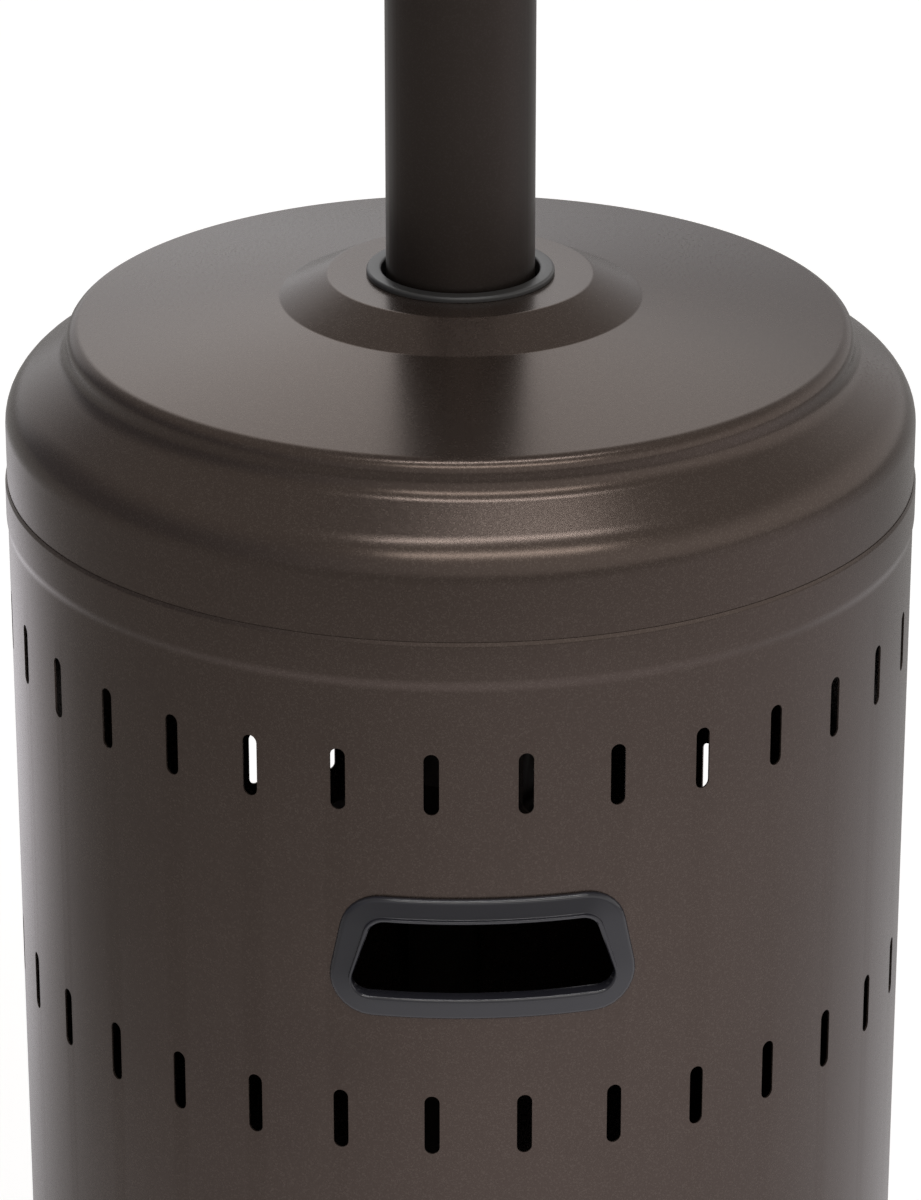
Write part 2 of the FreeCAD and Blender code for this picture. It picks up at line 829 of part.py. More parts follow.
def wheel_bolts():
    """Bolts through the wheel bracket and the hem, with their heads on the hem."""
    body = new_body("wheel_bolts")
    top = dim.hem_height + dim.base_sheet
    bottom = dim.hem_height - dim.ear_sheet
    heads = sketch_on(body, "XY_Plane", "head", top)
    shanks = sketch_on(body, "XY_Plane", "shank", bottom)
    for side in (-1, 1):
        polygon(heads, side * hem_bolt_x, hem_bolt_y, dim.bolt_head_radius, HEX_SIDES)
        circle(shanks, side * hem_bolt_x, hem_bolt_y, dim.bolt_radius)
    pad(body, heads, dim.bolt_head_height)
    pad(body, shanks, top - bottom)
    return body


def post_bolts():
    """Bolts through the brackets' upper ends and the post's wall."""
    body = new_body("post_bolts")
    seat = dim.post_radius + dim.leg_sheet
    tip = dim.post_radius - dim.post_wall - dim.bolt_tail
    for side, azimuth in leg_azimuths.items():
        heads = sketch_facing(body, f"head_{side}", azimuth, seat)
        shanks = sketch_facing(body, f"shank_{side}", azimuth, tip)
        for height in post_bolt_heights:
            polygon(heads, Size(0), height, dim.bolt_head_radius, HEX_SIDES)
            circle(shanks, 0, height, dim.bolt_radius)
        pad(body, heads, dim.bolt_head_height)
        pad(body, shanks, seat - tip)
    return body


def grip_outline(sketch, grow, rounding):
    """Draw the grip's trapezoid, wider at its foot and grown by a margin all round."""
    middle = rim_height - dim.grip_drop
    foot = dim.grip_opening_foot / 2 + grow
    head = dim.grip_opening_head / 2 + grow
    half = dim.grip_opening_height / 2 + grow
    outline(sketch, [
        (-foot, middle - half, rounding),
        (foot, middle - half, rounding),
        (head, middle + half, rounding),
        (-head, middle + half, rounding),
    ])


def cylinder_housing():
    """Rolled steel wall: a flared rim for the lid, two rows of slots and two grip windows."""
    body = new_body("cylinder_housing")
    wall = dim.housing_sheet
    outer = dim.housing_radius
    flare = outer + dim.flare_step
    joggle_top = rim_height - dim.flare_height
    joggle_foot = joggle_top - dim.joggle_height
    revolve(body, [
        (outer - wall, dim.ledge_height),
        (outer, dim.ledge_height),
        (outer, joggle_foot),
        (flare, joggle_top),
        (flare, rim_height),
        (flare - wall, rim_height),
        (flare - wall, joggle_top),
        (outer - wall, joggle_foot),
    ])
    margin = dim.grip_wall + dim.grip_fit
    for name, azimuth in (("front", 0), ("rear", 180)):
        window = sketch_facing(body, f"window_{name}", Size(azimuth), flare)
        grip_outline(window, margin, dim.grip_opening_round + margin)
        pocket(body, window, flare)
    slots = sketch_facing(body, "slot", dim.slot_phase, outer + wall)
    half_width = dim.slot_width / 2
    turn = 180 / SLOT_END_FLATS
    steps = range(SLOT_END_FLATS + 1)
    tip = [(half_width * cosine(turn * k), half_width * sine(turn * k)) for k in steps]
    shoulder = dim.slot_length / 2 - half_width * sine(turn)
    for drop in (dim.slot_drop, dim.slot_drop + dim.slot_pitch):
        middle = rim_height - drop
        upper = [(x, middle + shoulder + y) for x, y in tip]
        lower = [(-x, middle - shoulder - y) for x, y in tip]
        outline(slots, upper + lower)
    polar(body, [cut_through(body, slots, wall)], dim.slot_count)
    return body


def housing_lid():
    """Pressed lid: its skirt drops into the flare, then a shoulder, a step and a crown with a boss."""
    body = new_body("housing_lid")
    wall = dim.lid_sheet
    skirt = dim.housing_radius + dim.flare_step - dim.housing_sheet - dim.lid_fit
    hole = dim.post_radius + dim.grommet_gap + dim.grommet_wall + dim.grommet_fit
    foot = rim_height - dim.lid_overlap
    shoulder = rim_height + dim.lid_shoulder_height
    cove = rim_height + dim.lid_cove_height
    crown = rim_height + dim.lid_crown_height
    boss_foot = rim_height + dim.lid_boss_foot_height
    boss = rim_height + dim.lid_boss_height
    # The shelf between shoulder and cove slopes, so its underside lies half a sheet lower at its corners
    shelf_drop = wall / 2
    revolve(body, [
        (hole, boss),
        (dim.lid_boss_radius, boss),
        (dim.lid_boss_foot, boss_foot),
        (dim.lid_crown_radius, crown, dim.lid_crown_round),
        (dim.lid_cove_radius, cove, dim.lid_cove_round),
        (skirt, shoulder, dim.lid_shoulder_round),
        (skirt, foot),
        (skirt - wall, foot),
        (skirt - wall, shoulder - shelf_drop, dim.lid_shoulder_round - wall),
        (dim.lid_cove_radius - wall, cove - shelf_drop, dim.lid_cove_round + wall),
        (dim.lid_crown_radius - wall, crown - wall, dim.lid_crown_round - wall),
        (dim.lid_boss_foot, boss_foot - wall),
        (dim.lid_boss_radius, boss - wall),
        (hole, boss - wall),
    ])
    return body


def post_grommet():
    """Plastic ring clipped in the lid's hole, with a rounded rim, that slides on the post."""
    body = new_body("post_grommet")
    bore = dim.post_radius + dim.grommet_gap
    neck = bore + dim.grommet_wall
    boss = rim_height + dim.lid_boss_height
    under = boss - dim.lid_sheet
    rim_top = boss + dim.grommet_rim_height
    bevel = dim.grommet_bevel
    revolve(body, [
        (bore, under - dim.grommet_clip_height),
        (neck, under - dim.grommet_clip_height),
        (neck + dim.grommet_clip, under),
        (neck, under),
        (neck, boss),
        (neck + dim.grommet_rim, boss),
        (neck + dim.grommet_rim, rim_top - bevel),
        (neck + dim.grommet_rim - bevel, rim_top),
        (bore + bevel, rim_top),
        (bore, rim_top - bevel),
    ])
    return body


def hand_grip(label, azimuth):
    """Moulded grip: a flange that follows the wall, and a sleeve through it with a raised lip."""
    seat = dim.housing_radius + dim.grip_seat_gap
    flange_top = seat + dim.grip_flange
    lip_top = flange_top + dim.grip_lip

    def block(name, grow, rounding):
        sketch = doc.addObject("Sketcher::SketchObject", f"{label}_{name}_outline")
        grip_outline(sketch, grow, rounding)
        sketch.Placement = FreeCAD.Placement(FreeCAD.Vector(), FreeCAD.Rotation(0, 0, 90))
        bind(sketch, Placement__Base__y=-lip_top)
        solid = doc.addObject("Part::Extrusion", f"{label}_{name}")
        solid.Base = sketch
        solid.DirMode = "Normal"
        solid.Reversed = True
        solid.Solid = True
        bind(solid, LengthFwd=lip_top)
        return solid

    def ring(name, inner, outer):
        solids = []
        for part_name, radius in (("outer", outer), ("inner", inner)):
            solid = doc.addObject("Part::Cylinder", f"{label}_{name}_{part_name}")
            bind(solid, Radius=radius, Height=rim_height)
            solids.append(solid)
        shell = doc.addObject("Part::Cut", f"{label}_{name}")
        shell.Base, shell.Tool = solids
        return shell

    def joined(kind, name, base, tool):
        result = doc.addObject(kind, name)
        result.Base, result.Tool = base, tool
        return result

    flange = joined(
        "Part::Common",
        f"{label}_flange",
        block("flange_block", dim.grip_flange_width, dim.grip_flange_round),
        ring("flange_ring", seat, flange_top),
    )
    sleeve = joined(
        "Part::Common",
        f"{label}_sleeve",
        block("sleeve_block", dim.grip_wall, dim.grip_opening_round + dim.grip_wall),
        ring("sleeve_ring", dim.housing_radius - dim.grip_depth, lip_top),
    )
    whole = joined("Part::Fuse", f"{label}_whole", flange, sleeve)
    grip = joined("Part::Cut", label, whole, block("opening", 0, dim.grip_opening_round))
    grip.Label = label
    turn = FreeCAD.Rotation(FreeCAD.Vector(0, 0, 1), azimuth)
    grip.Placement = FreeCAD.Placement(FreeCAD.Vector(), turn)
    return grip


def control_housing():
    """Spun bell of the head: a collar round the post, a flare, and a wall for the controls."""
    body = new_body("control_housing")
    wall = dim.head_sheet
    neck = dim.post_radius + dim.collar_gap
    foot = post_top - dim.collar_length
    flare_foot = post_top + wall
    flare_top = flare_foot + dim.head_flare
    revolve(body, [
        (neck, foot),
        (neck + wall, foot),
        (neck + wall, flare_foot - wall, dim.head_neck_round),
        (dim.head_radius, flare_top, dim.head_flare_round),
        (dim.head_radius, head_top),
        (dim.head_radius - dim.head_lip, head_top),
        (dim.head_radius - dim.head_lip, head_top - wall),
        (dim.head_radius - wall, head_top - wall),
        (dim.head_radius - wall, flare_top + wall, dim.head_flare_round - wall),
        (neck, flare_foot, dim.head_neck_round + wall),
    ])
    outside = dim.head_radius + wall
    knob_hole = sketch_facing(body, "knob_hole", Size(0), outside)
    circle(knob_hole, 0, valve_height, dim.valve_neck_radius + dim.panel_hole_gap)
    cut_through(body, knob_hole, wall)
    igniter_hole = sketch_facing(body, "igniter_hole", -dim.igniter_angle, outside)
    circle(igniter_hole, 0, valve_height, dim.igniter_radius + dim.panel_hole_gap)
    cut_through(body, igniter_hole, wall)
    air_hole = sketch_facing(body, "air_hole", 180 / dim.air_hole_count, outside)
    circle(air_hole, 0, post_top + dim.air_hole_rise, dim.air_hole_radius)
    polar(body, [cut_through(body, air_hole, wall)], dim.air_hole_count)
    clamp = sketch_facing(body, "screw_hole", 180 / dim.collar_screw_count, neck + 2 * wall)
    circle(clamp, 0, post_top - dim.collar_screw_rise, screw_hole)
    polar(body, [cut_through(body, clamp, wall)], dim.collar_screw_count)
    return body


def collar_screws():
    """Screws through the head's collar and the post's wall."""
    body = new_body("collar_screws")
    azimuth = 180 / dim.collar_screw_count
    height = post_top - dim.collar_screw_rise
    seat = dim.post_radius + dim.collar_gap + dim.head_sheet
    tip = dim.post_radius - dim.post_wall - dim.bolt_tail
    head = sketch_facing(body, "head", azimuth, seat)
    circle(head, 0, height, dim.screw_head_radius)
    shank = sketch_facing(body, "shank", azimuth, tip)
    circle(shank, 0, height, dim.screw_radius)
    screw = [pad(body, head, dim.screw_head_height), pad(body, shank, seat - tip)]
    polar(body, screw, dim.collar_screw_count)
    return body


valve_face = dim.head_radius - dim.head_sheet - dim.valve_setback
valve_back = valve_face - dim.valve_depth
neck_end = dim.head_radius + dim.valve_neck_proud
stem_end = neck_end + dim.stem_proud
plunger_end = valve_face - dim.plunger_length
knob_back = dim.head_radius + dim.knob_gap + dim.push_travel
knob_recess = knob_back + dim.knob_skirt
knob_face = knob_recess + dim.knob_height


def gas_valve():
    """Gas control valve: a block behind the wall and a bored neck through it."""
    body = new_body("gas_valve")
    block = sketch_on(body, "XZ_Plane", "block", valve_back)
    half_width = dim.valve_width / 2
    half_height = dim.valve_height / 2
    outline(block, [
        (-half_width, valve_height - half_height, dim.valve_round),
        (half_width, valve_height - half_height, dim.valve_round),
        (half_width, valve_height + half_height, dim.valve_round),
        (-half_width, valve_height + half_height, dim.valve_round),
    ])
    pad(body, block, dim.valve_depth)
    neck = sketch_on(body, "XZ_Plane", "neck", valve_face)
    circle(neck, 0, valve_height, dim.valve_neck_radius)
    pad(body, neck, neck_end - valve_face)
    bore = sketch_on(body, "XZ_Plane", "bore", neck_end)
    circle(bore, 0, valve_height, dim.stem_radius + dim.stem_gap)
    pocket(body, bore, neck_end - plunger_end + dim.push_travel + dim.bore_run_out)
    return body


def valve_nut():
    """Nut that clamps the valve's neck to the wall."""
    body = new_body("valve_nut")
    sketch = sketch_on(body, "XZ_Plane", "nut", dim.head_radius)
    polygon(sketch, Size(0), valve_height, dim.valve_nut_radius, HEX_SIDES)
    circle(sketch, 0, valve_height, dim.valve_neck_radius)
    pad(body, sketch, dim.valve_nut_height)
    return body


def valve_plunger():
    """Pin inside the valve that the stem pushes to open the pilot's gas."""
    body = new_body("valve_plunger")
    sketch = sketch_on(body, "XZ_Plane", "pin", plunger_end)
    circle(sketch, 0, valve_height, dim.plunger_radius)
    pad(body, sketch, dim.plunger_length)
    return body


def valve_stem():
    """Stem that the knob turns, with a flat over the length that the knob grips."""
    body = new_body("valve_stem")
    sketch = sketch_on(body, "XZ_Plane", "stem", valve_face)
    circle(sketch, 0, valve_height, dim.stem_radius)
    pad(body, sketch, stem_end - valve_face)
    flat = sketch_on(body, "XZ_Plane", "flat", stem_end)
    low = valve_height + dim.stem_flat
    high = valve_height + dim.stem_radius + dim.stem_flat
    outline(flat, [
        (-dim.stem_radius, low),
        (dim.stem_radius, low),
        (dim.stem_radius, high),
        (-dim.stem_radius, high),
    ])
    pocket(body, flat, stem_end - knob_recess)
    return body


def control_knob():
    """Moulded knob: a round skirt that clears the valve's nut, and a grip bar across its face."""
    body = new_body("control_knob")
    recess_radius = dim.valve_nut_radius + dim.knob_gap
    skirt_top = knob_face - dim.knob_chamfer
    revolve(body, [
        (0, knob_recess),
        (recess_radius, knob_recess),
        (recess_radius, knob_back),
        (dim.knob_radius, knob_back),
        (dim.knob_radius, skirt_top),
        (dim.knob_radius - dim.knob_chamfer, knob_face, dim.knob_round),
        (0, knob_face),
    ])
    bar = sketch_on(body, "XY_Plane", "bar", skirt_top)
    half_width = dim.knob_bar_width / 2
    half_length = dim.knob_bar_length / 2
    outline(bar, [
        (-half_width, -half_length, dim.knob_bar_round),
        (half_width, -half_length, dim.knob_bar_round),
        (half_width, half_length, dim.knob_bar_round),
        (-half_width, half_length, dim.knob_bar_round),
    ])
    pad(body, bar, dim.knob_chamfer + dim.knob_bar_height)
    bore = sketch_on(body, "XY_Plane", "bore", knob_recess)
    circle(bore, 0, 0, dim.stem_radius + dim.stem_gap)
    pocket(body, bore, stem_end - knob_recess + dim.stem_gap, upward=True)
    face_out(body, 0, valve_height)
    return body


igniter_face = dim.head_radius + dim.igniter_flange_height
button_foot = igniter_face - dim.button_depth


def piezo_igniter():
    """Piezo igniter: a barrel through the wall, with a flange outside and a bore for the button."""
    body = new_body("piezo_igniter")
    foot = dim.head_radius - dim.igniter_length
    well = dim.button_radius + dim.button_gap
    well_floor = button_foot - dim.button_travel - dim.bore_run_out
    revolve(body, [
        (0, foot),
        (dim.igniter_radius, foot),
        (dim.igniter_radius, dim.head_radius),
        (dim.igniter_radius + dim.igniter_flange, dim.head_radius),
        (dim.igniter_radius + dim.igniter_flange, igniter_face),
        (well, igniter_face),
        (well, well_floor),
        (0, well_floor),
    ])
    face_out(body, -dim.igniter_angle, valve_height)
    return body


def igniter_nut():
    """Nut that holds the igniter against the inside of the wall."""
    body = new_body("igniter_nut")
    outer = dim.igniter_radius + dim.igniter_flange
    wall = dim.head_radius - dim.head_sheet
    seat = root(wall * wall - outer * outer)
    sketch = sketch_on(body, "XY_Plane", "nut", seat - dim.igniter_nut_height)
    polygon(sketch, Size(0), Size(0), outer, HEX_SIDES)
    circle(sketch, 0, 0, dim.igniter_radius)
    pad(body, sketch, dim.igniter_nut_height)
    face_out(body, -dim.igniter_angle, valve_height)
    return body


def igniter_button():
    """Push button of the igniter."""
    body = new_body("igniter_button")
    top = igniter_face + dim.button_proud
    revolve(body, [
        (0, button_foot),
        (dim.button_radius, button_foot),
        (dim.button_radius, top, dim.button_round),
        (0, top),
    ])
    face_out(body, -dim.igniter_angle, valve_height)
    return body


outlet_height = valve_height + dim.pipe_offset
inlet_height = valve_height - dim.pipe_offset
jet_foot = outlet_height + dim.pipe_rise
jet_top = jet_foot + dim.jet_body + dim.jet_nose
fitting_top = inlet_height - dim.inlet_drop
mixer_top = jet_top + dim.mixer_length
burner_foot = burner_floor + dim.burner_stand


def gas_pipe(label, height, end_height):
    """Pipe from the valve's back to an elbow on the post's axis, then up or down."""
    body = new_body(label)
    mouth = sketch_on(body, "XZ_Plane", "mouth", valve_back)
    circle(mouth, 0, height, dim.pipe_radius)
    route = sketch_on(body, "YZ_Plane", "route")
    outline(route, [(-valve_back, height), (0, height), (0, end_height)], closed=False)
    pipe = body.newObject("PartDesign::AdditivePipe", f"{label}_sweep")
    pipe.Profile = mouth
    pipe.Spine = (route, [])
    pipe.Transition = "Right corner"
    return body


def inlet_fitting():
    """Brass fitting on the inlet pipe: a hexagon and a threaded end for the gas hose."""
    body = new_body("inlet_fitting")
    shoulder = fitting_top - dim.fitting_body
    hexagon = sketch_on(body, "XY_Plane", "hexagon", shoulder)
    polygon(hexagon, Size(0), Size(0), dim.fitting_hex, HEX_SIDES)
    pad(body, hexagon, dim.fitting_body)
    foot = shoulder - dim.fitting_thread
    thread = sketch_on(body, "XY_Plane", "thread", foot)
    circle(thread, 0, 0, dim.fitting_radius)
    pad(body, thread, dim.fitting_thread)
    bore = sketch_on(body, "XY_Plane", "bore", foot)
    circle(bore, 0, 0, dim.fitting_bore)
    pocket(body, bore, dim.fitting_thread, upward=True)
    return body


def gas_jet():
    """Jet at the end of the outlet pipe, pointing up into the mixing tube."""
    body = new_body("gas_jet")
    revolve(body, [
        (0, jet_foot),
        (dim.jet_radius, jet_foot),
        (dim.jet_radius, jet_foot + dim.jet_body),
        (dim.jet_tip, jet_top),
        (0, jet_top),
    ])
    return body


def mixer_tube():
    """Tube where gas and air mix on the way up to the burner."""
    body = new_body("mixer_tube")
    inner = dim.mixer_radius - dim.mixer_wall
    revolve(body, [
        (inner, jet_top),
        (dim.mixer_radius, jet_top),
        (dim.mixer_radius, mixer_top),
        (inner, mixer_top),
    ])
    return body


def burner_plate():
    """Plate across the head's rim that carries the emitter screen, the burner and the pilot."""
    body = new_body("burner_plate")
    hole = dim.mixer_radius + dim.hole_fit
    outer = dim.head_radius - dim.head_sheet
    revolve(body, [(hole, head_top), (outer, head_top), (outer, burner_floor), (hole, burner_floor)])
    return body


def burner_head():
    """Flat drum with ports round its side, on top of the mixing tube."""
    body = new_body("burner_head")
    wall = dim.burner_wall
    top = burner_foot + dim.burner_height
    hole = dim.mixer_radius + dim.hole_fit
    revolve(body, [
        (hole, burner_foot),
        (dim.burner_radius, burner_foot),
        (dim.burner_radius, top),
        (0, top),
        (0, top - wall),
        (dim.burner_radius - wall, top - wall),
        (dim.burner_radius - wall, burner_foot + wall),
        (hole, burner_foot + wall),
    ])
    port = sketch_facing(body, "port", Size(0), dim.burner_radius + wall)
    polygon(port, Size(0), burner_foot + dim.burner_height / 2, dim.burner_port_radius, HEX_SIDES)
    polar(body, [cut_through(body, port, wall)], dim.burner_port_count)
    return body


def put_at_pilot(thing, shift, height):
    """Stand a piece in the pilot group, shifted along the group's line."""
    angle = -dim.pilot_angle
    thing.Placement = FreeCAD.Placement(FreeCAD.Vector(), FreeCAD.Rotation(FreeCAD.Vector(0, 0, 1), 1))
    bind(
        thing,
        Placement__Rotation__Angle=angle,
        Placement__Base__x=dim.pilot_circle * sine(angle) + shift * cosine(angle),
        Placement__Base__y=-1 * dim.pilot_circle * cosine(angle) + shift * sine(angle),
        Placement__Base__z=height,
    )


def pilot_bracket():
    """Folded strip that holds the pilot burner, the thermocouple and the spark electrode."""
    body = new_body("pilot_bracket")
    half = dim.pilot_shelf_half
    top = dim.pilot_shelf_height
    wall = dim.pilot_sheet
    strip = sketch_on(body, "XZ_Plane", "strip")
    outline(strip, [
        (-half, 0),
        (-half + wall, 0),
        (-half + wall, top - wall),
        (half - wall, top - wall),
        (half - wall, 0),
        (half, 0),
        (half, top),
        (-half, top),
    ])
    pad(body, strip, dim.pilot_strip, both_sides=True)
    holes = sketch_on(body, "XY_Plane", "hole", top)
    circle(holes, 0, 0, dim.pilot_radius + dim.hole_fit)
    for side in (-1, 1):
        circle(holes, side * dim.pilot_pitch, 0, dim.probe_radius + dim.hole_fit)
    pocket(body, holes, wall)
    put_at_pilot(body, Size(0), burner_floor)
    return body


def pilot_piece(label, shift, radius, height):
    """Upright round piece of the pilot group."""
    piece = doc.addObject("Part::Cylinder", label)
    piece.Label = label
    bind(piece, Radius=radius, Height=height)
    put_at_pilot(piece, shift, burner_floor)
    return piece


def tilt_switch():
    """Switch under the burner plate that shuts the gas if the heater falls over."""
    body = new_body("tilt_switch")
    sketch = sketch_on(body, "XY_Plane", "can", head_top - dim.tilt_height)
    circle(sketch, 0, dim.tilt_circle, dim.tilt_radius)
    pad(body, sketch, dim.tilt_height)
    return body


def emitter_screen():
    """Perforated steel cylinder that glows, its holes in staggered columns."""
    body = new_body("emitter_screen")
    inner = dim.emitter_radius - dim.emitter_sheet
    revolve(body, [
        (inner, burner_floor),
        (dim.emitter_radius, burner_floor),
        (dim.emitter_radius, emitter_top),
        (inner, emitter_top),
    ])
    middle = burner_floor + dim.emitter_height / 2
    columns = []
    rows = round(number(dim.emitter_hole_rows))
    outside = dim.emitter_radius + dim.emitter_sheet
    for name, azimuth, count in (
        ("long", Size(0), rows),
        ("short", 180 / dim.emitter_hole_columns, rows - 1),
    ):
        column = sketch_facing(body, f"{name}_column", azimuth, outside)
        for row in range(count):
            height = middle + (row - (count - 1) / 2) * dim.emitter_hole_pitch
            polygon(column, Size(0), height, dim.emitter_hole_radius, HOLE_SIDES)
        columns.append(cut_through(body, column, dim.emitter_sheet))
    polar(body, columns, dim.emitter_hole_columns)
    return body


def emitter_cap():
    """Lid of the emitter with a turned-down rim; the reflector's studs stand on it."""
    body = new_body("emitter_cap")
    outer = dim.emitter_radius + dim.emitter_cap_overhang
    wall = dim.emitter_cap_sheet
    rim_foot = emitter_top - dim.emitter_cap_rim
    revolve(body, [
        (0, emitter_top),
        (outer - wall, emitter_top),
        (outer - wall, rim_foot),
        (outer, rim_foot),
        (outer, emitter_top),
        (outer - wall, cap_top),
        (0, cap_top),
    ])
    return body


def reflector_studs():
    """Hexagon spacers with threaded ends that stand through the reflector."""
    body = new_body("reflector_studs")
    spacer = sketch_on(body, "XY_Plane", "spacer", cap_top)
    polygon(spacer, Size(0), -dim.stud_circle, dim.stud_hex, HEX_SIDES)
    thread = sketch_on(body, "XY_Plane", "thread", reflector_seat)
    circle(thread, 0, -dim.stud_circle, dim.stud_thread)
    length = dim.reflector_sheet + dim.wing_hub_height + dim.bolt_tail
    polar(body, [pad(body, spacer, dim.stud_height), pad(body, thread, length)], dim.stud_count)
    return body


def reflector():
    """Spun dome: a flat crown on the studs, a step, a bowed skirt and a rolled rim."""
    body = new_body("reflector")
    wall = dim.reflector_sheet
    line = [
        (dim.reflector_flat, Size(0)),
        (dim.reflector_flat + dim.reflector_step_run, dim.reflector_step),
        (dim.reflector_mid_radius, dim.reflector_mid_drop),
        (dim.reflector_outer_radius, dim.reflector_outer_drop),
        (dim.reflector_radius - wall, dim.reflector_drop),
    ]
    upper = [(radius, reflector_top - drop) for radius, drop in line]
    lower = [(radius - wall / 2, reflector_seat - drop) for radius, drop in line[:-1]]
    rim_foot = reflector_top - dim.reflector_drop - dim.reflector_roll
    section = [(0, reflector_seat), (0, reflector_top)] + upper + [
        (dim.reflector_radius, reflector_top - dim.reflector_drop - wall),
        (dim.reflector_radius, rim_foot),
        (dim.reflector_radius - dim.reflector_roll, rim_foot),
        (dim.reflector_radius - dim.reflector_roll, reflector_seat - dim.reflector_drop + wall),
    ]
    revolve(body, section + lower[::-1])
    hole = sketch_on(body, "XY_Plane", "stud_hole", reflector_top)
    circle(hole, 0, -dim.stud_circle, dim.stud_thread + dim.stud_hole_gap)
    polar(body, [pocket(body, hole, wall)], dim.stud_count)
    return body


def wing_nuts():
    """Wing nuts that hold the reflector down."""
    body = new_body("wing_nuts")
    hub = sketch_on(body, "XY_Plane", "hub", reflector_top)
    circle(hub, 0, -dim.stud_circle, dim.wing_hub_radius)
    hubs = pad(body, hub, dim.wing_hub_height)
    wings = sketch_on(body, "XZ_Plane", "wings", dim.stud_circle)
    half = dim.wing_span / 2
    top = reflector_top + dim.wing_height
    foot = reflector_top + dim.wing_sheet
    notch = reflector_top + dim.wing_hub_height
    outline(wings, [
        (0, foot),
        (half, top - dim.wing_hub_height / 2),
        (half, top),
        (dim.wing_hub_radius + dim.wing_sheet, top),
        (0, notch),
        (-dim.wing_hub_radius - dim.wing_sheet, top),
        (-half, top),
        (-half, top - dim.wing_hub_height / 2),
    ])
    blades = pad(body, wings, dim.wing_sheet, both_sides=True)
    bore = sketch_on(body, "XY_Plane", "bore", top)
    circle(bore, 0, -dim.stud_circle, dim.stud_thread)
    polar(body, [hubs, blades, pocket(body, bore, dim.wing_height)], dim.stud_count)
    return body


PIECES = [
    base_plate,
    base_feet,
    wheel_bracket,
    wheel_axle,
    axle_caps,
    lambda: wheel("wheel_right", 1),
    lambda: wheel("wheel_left", -1),
    post,
    bracket_bolts,
    bracket_nuts,
    wheel_bolts,
    post_bolts,
    cylinder_housing,
    housing_lid,
    post_grommet,
    lambda: hand_grip("hand_grip_front", 0),
    lambda: hand_grip("hand_grip_rear", 180),
    control_housing,
    collar_screws,
    gas_valve,
    valve_nut,
    valve_plunger,
    valve_stem,
    control_knob,
    piezo_igniter,
    igniter_nut,
    igniter_button,
    lambda: gas_pipe("inlet_pipe", inlet_height, fitting_top),
    inlet_fitting,
    lambda: gas_pipe("outlet_pipe", outlet_height, jet_foot),
    gas_jet,
    mixer_tube,
    burner_plate,
    burner_head,
    pilot_bracket,
    lambda: pilot_piece("pilot_burner", Size(0), dim.pilot_radius, dim.pilot_height),
    lambda: pilot_piece("thermocouple", dim.pilot_pitch, dim.probe_radius, dim.probe_height),
    lambda: pilot_piece("spark_electrode", -dim.pilot_pitch, dim.probe_radius, dim.probe_height),
    tilt_switch,
    emitter_screen,
    emitter_cap,
    reflector_studs,
    reflector,
    wing_nuts,
]
nodes = [make() for make in PIECES]
nodes += [post_bracket(f"post_bracket_{side}", angle) for side, angle in leg_angles.items()]

# Nodes that are a group of like solids, and how many each has
GROUPS = {
    "base_feet": dim.foot_count,
    "axle_caps": 2,
    "bracket_bolts": len(leg_angles),
    "bracket_nuts": len(leg_angles),
    "wheel_bolts": 2,
    "post_bolts": len(leg_angles) * len(post_bolt_heights),
    "collar_screws": dim.collar_screw_count,
    "reflector_studs": dim.stud_count,
    "wing_nuts": dim.stud_count,
}

doc.recompute()
for item in doc.Objects:
    if {"Invalid", "Error"} & set(item.State):
        raise RuntimeError(f"{item.Label} failed: {item.State}")
for node in nodes:
    if node.Shape.isNull() or not node.Shape.isValid():
        raise RuntimeError(f"{node.Label} has no valid shape")
    solids = round(number(GROUPS.get(node.Label, 1)))
    if len(node.Shape.Solids) != solids:
        raise RuntimeError(f"{node.Label} has {len(node.Shape.Solids)} solids and needs {solids}")

os.makedirs("parts", exist_ok=True)
for node in nodes:
    node.Shape.exportStep(f"parts/{node.Label}.step")
    print(node.Label, len(node.Shape.Solids), round(node.Shape.Volume))
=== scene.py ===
"""Looks of the patio heater: a finish for every piece, and smooth, detailed shells over plain ones.

Metres, in the frame of the CAD model: Z is up from the floor, the post's axis is X = Y = 0, the front
with the hand grip and the control knob faces -Y, and the wheels are at the back, +Y.
"""

import json
import logging
import math
from collections.abc import Iterable, Sequence
from dataclasses import dataclass
from enum import Enum
from typing import Any

import bmesh
import bpy
from mathutils import Matrix, Vector

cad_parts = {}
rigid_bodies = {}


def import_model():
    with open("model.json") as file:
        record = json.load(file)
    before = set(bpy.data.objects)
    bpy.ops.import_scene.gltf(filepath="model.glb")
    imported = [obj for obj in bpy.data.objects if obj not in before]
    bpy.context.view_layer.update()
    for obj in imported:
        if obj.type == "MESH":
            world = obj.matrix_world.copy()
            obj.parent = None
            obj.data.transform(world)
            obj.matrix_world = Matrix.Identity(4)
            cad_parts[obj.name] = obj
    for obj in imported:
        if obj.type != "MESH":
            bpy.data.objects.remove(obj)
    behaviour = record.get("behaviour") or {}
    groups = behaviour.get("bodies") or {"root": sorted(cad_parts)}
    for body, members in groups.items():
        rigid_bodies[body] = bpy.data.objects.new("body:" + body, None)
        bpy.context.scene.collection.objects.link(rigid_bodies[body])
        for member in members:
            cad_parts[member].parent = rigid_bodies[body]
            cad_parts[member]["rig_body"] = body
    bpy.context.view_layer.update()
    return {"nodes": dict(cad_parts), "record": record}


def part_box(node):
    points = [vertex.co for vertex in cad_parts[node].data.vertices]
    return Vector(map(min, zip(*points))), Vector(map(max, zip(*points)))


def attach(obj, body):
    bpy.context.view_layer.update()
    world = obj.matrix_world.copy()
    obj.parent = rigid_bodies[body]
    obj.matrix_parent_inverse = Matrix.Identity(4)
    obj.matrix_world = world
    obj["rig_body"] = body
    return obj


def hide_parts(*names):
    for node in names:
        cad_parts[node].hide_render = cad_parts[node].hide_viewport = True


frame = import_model()

log = logging.getLogger("heater")

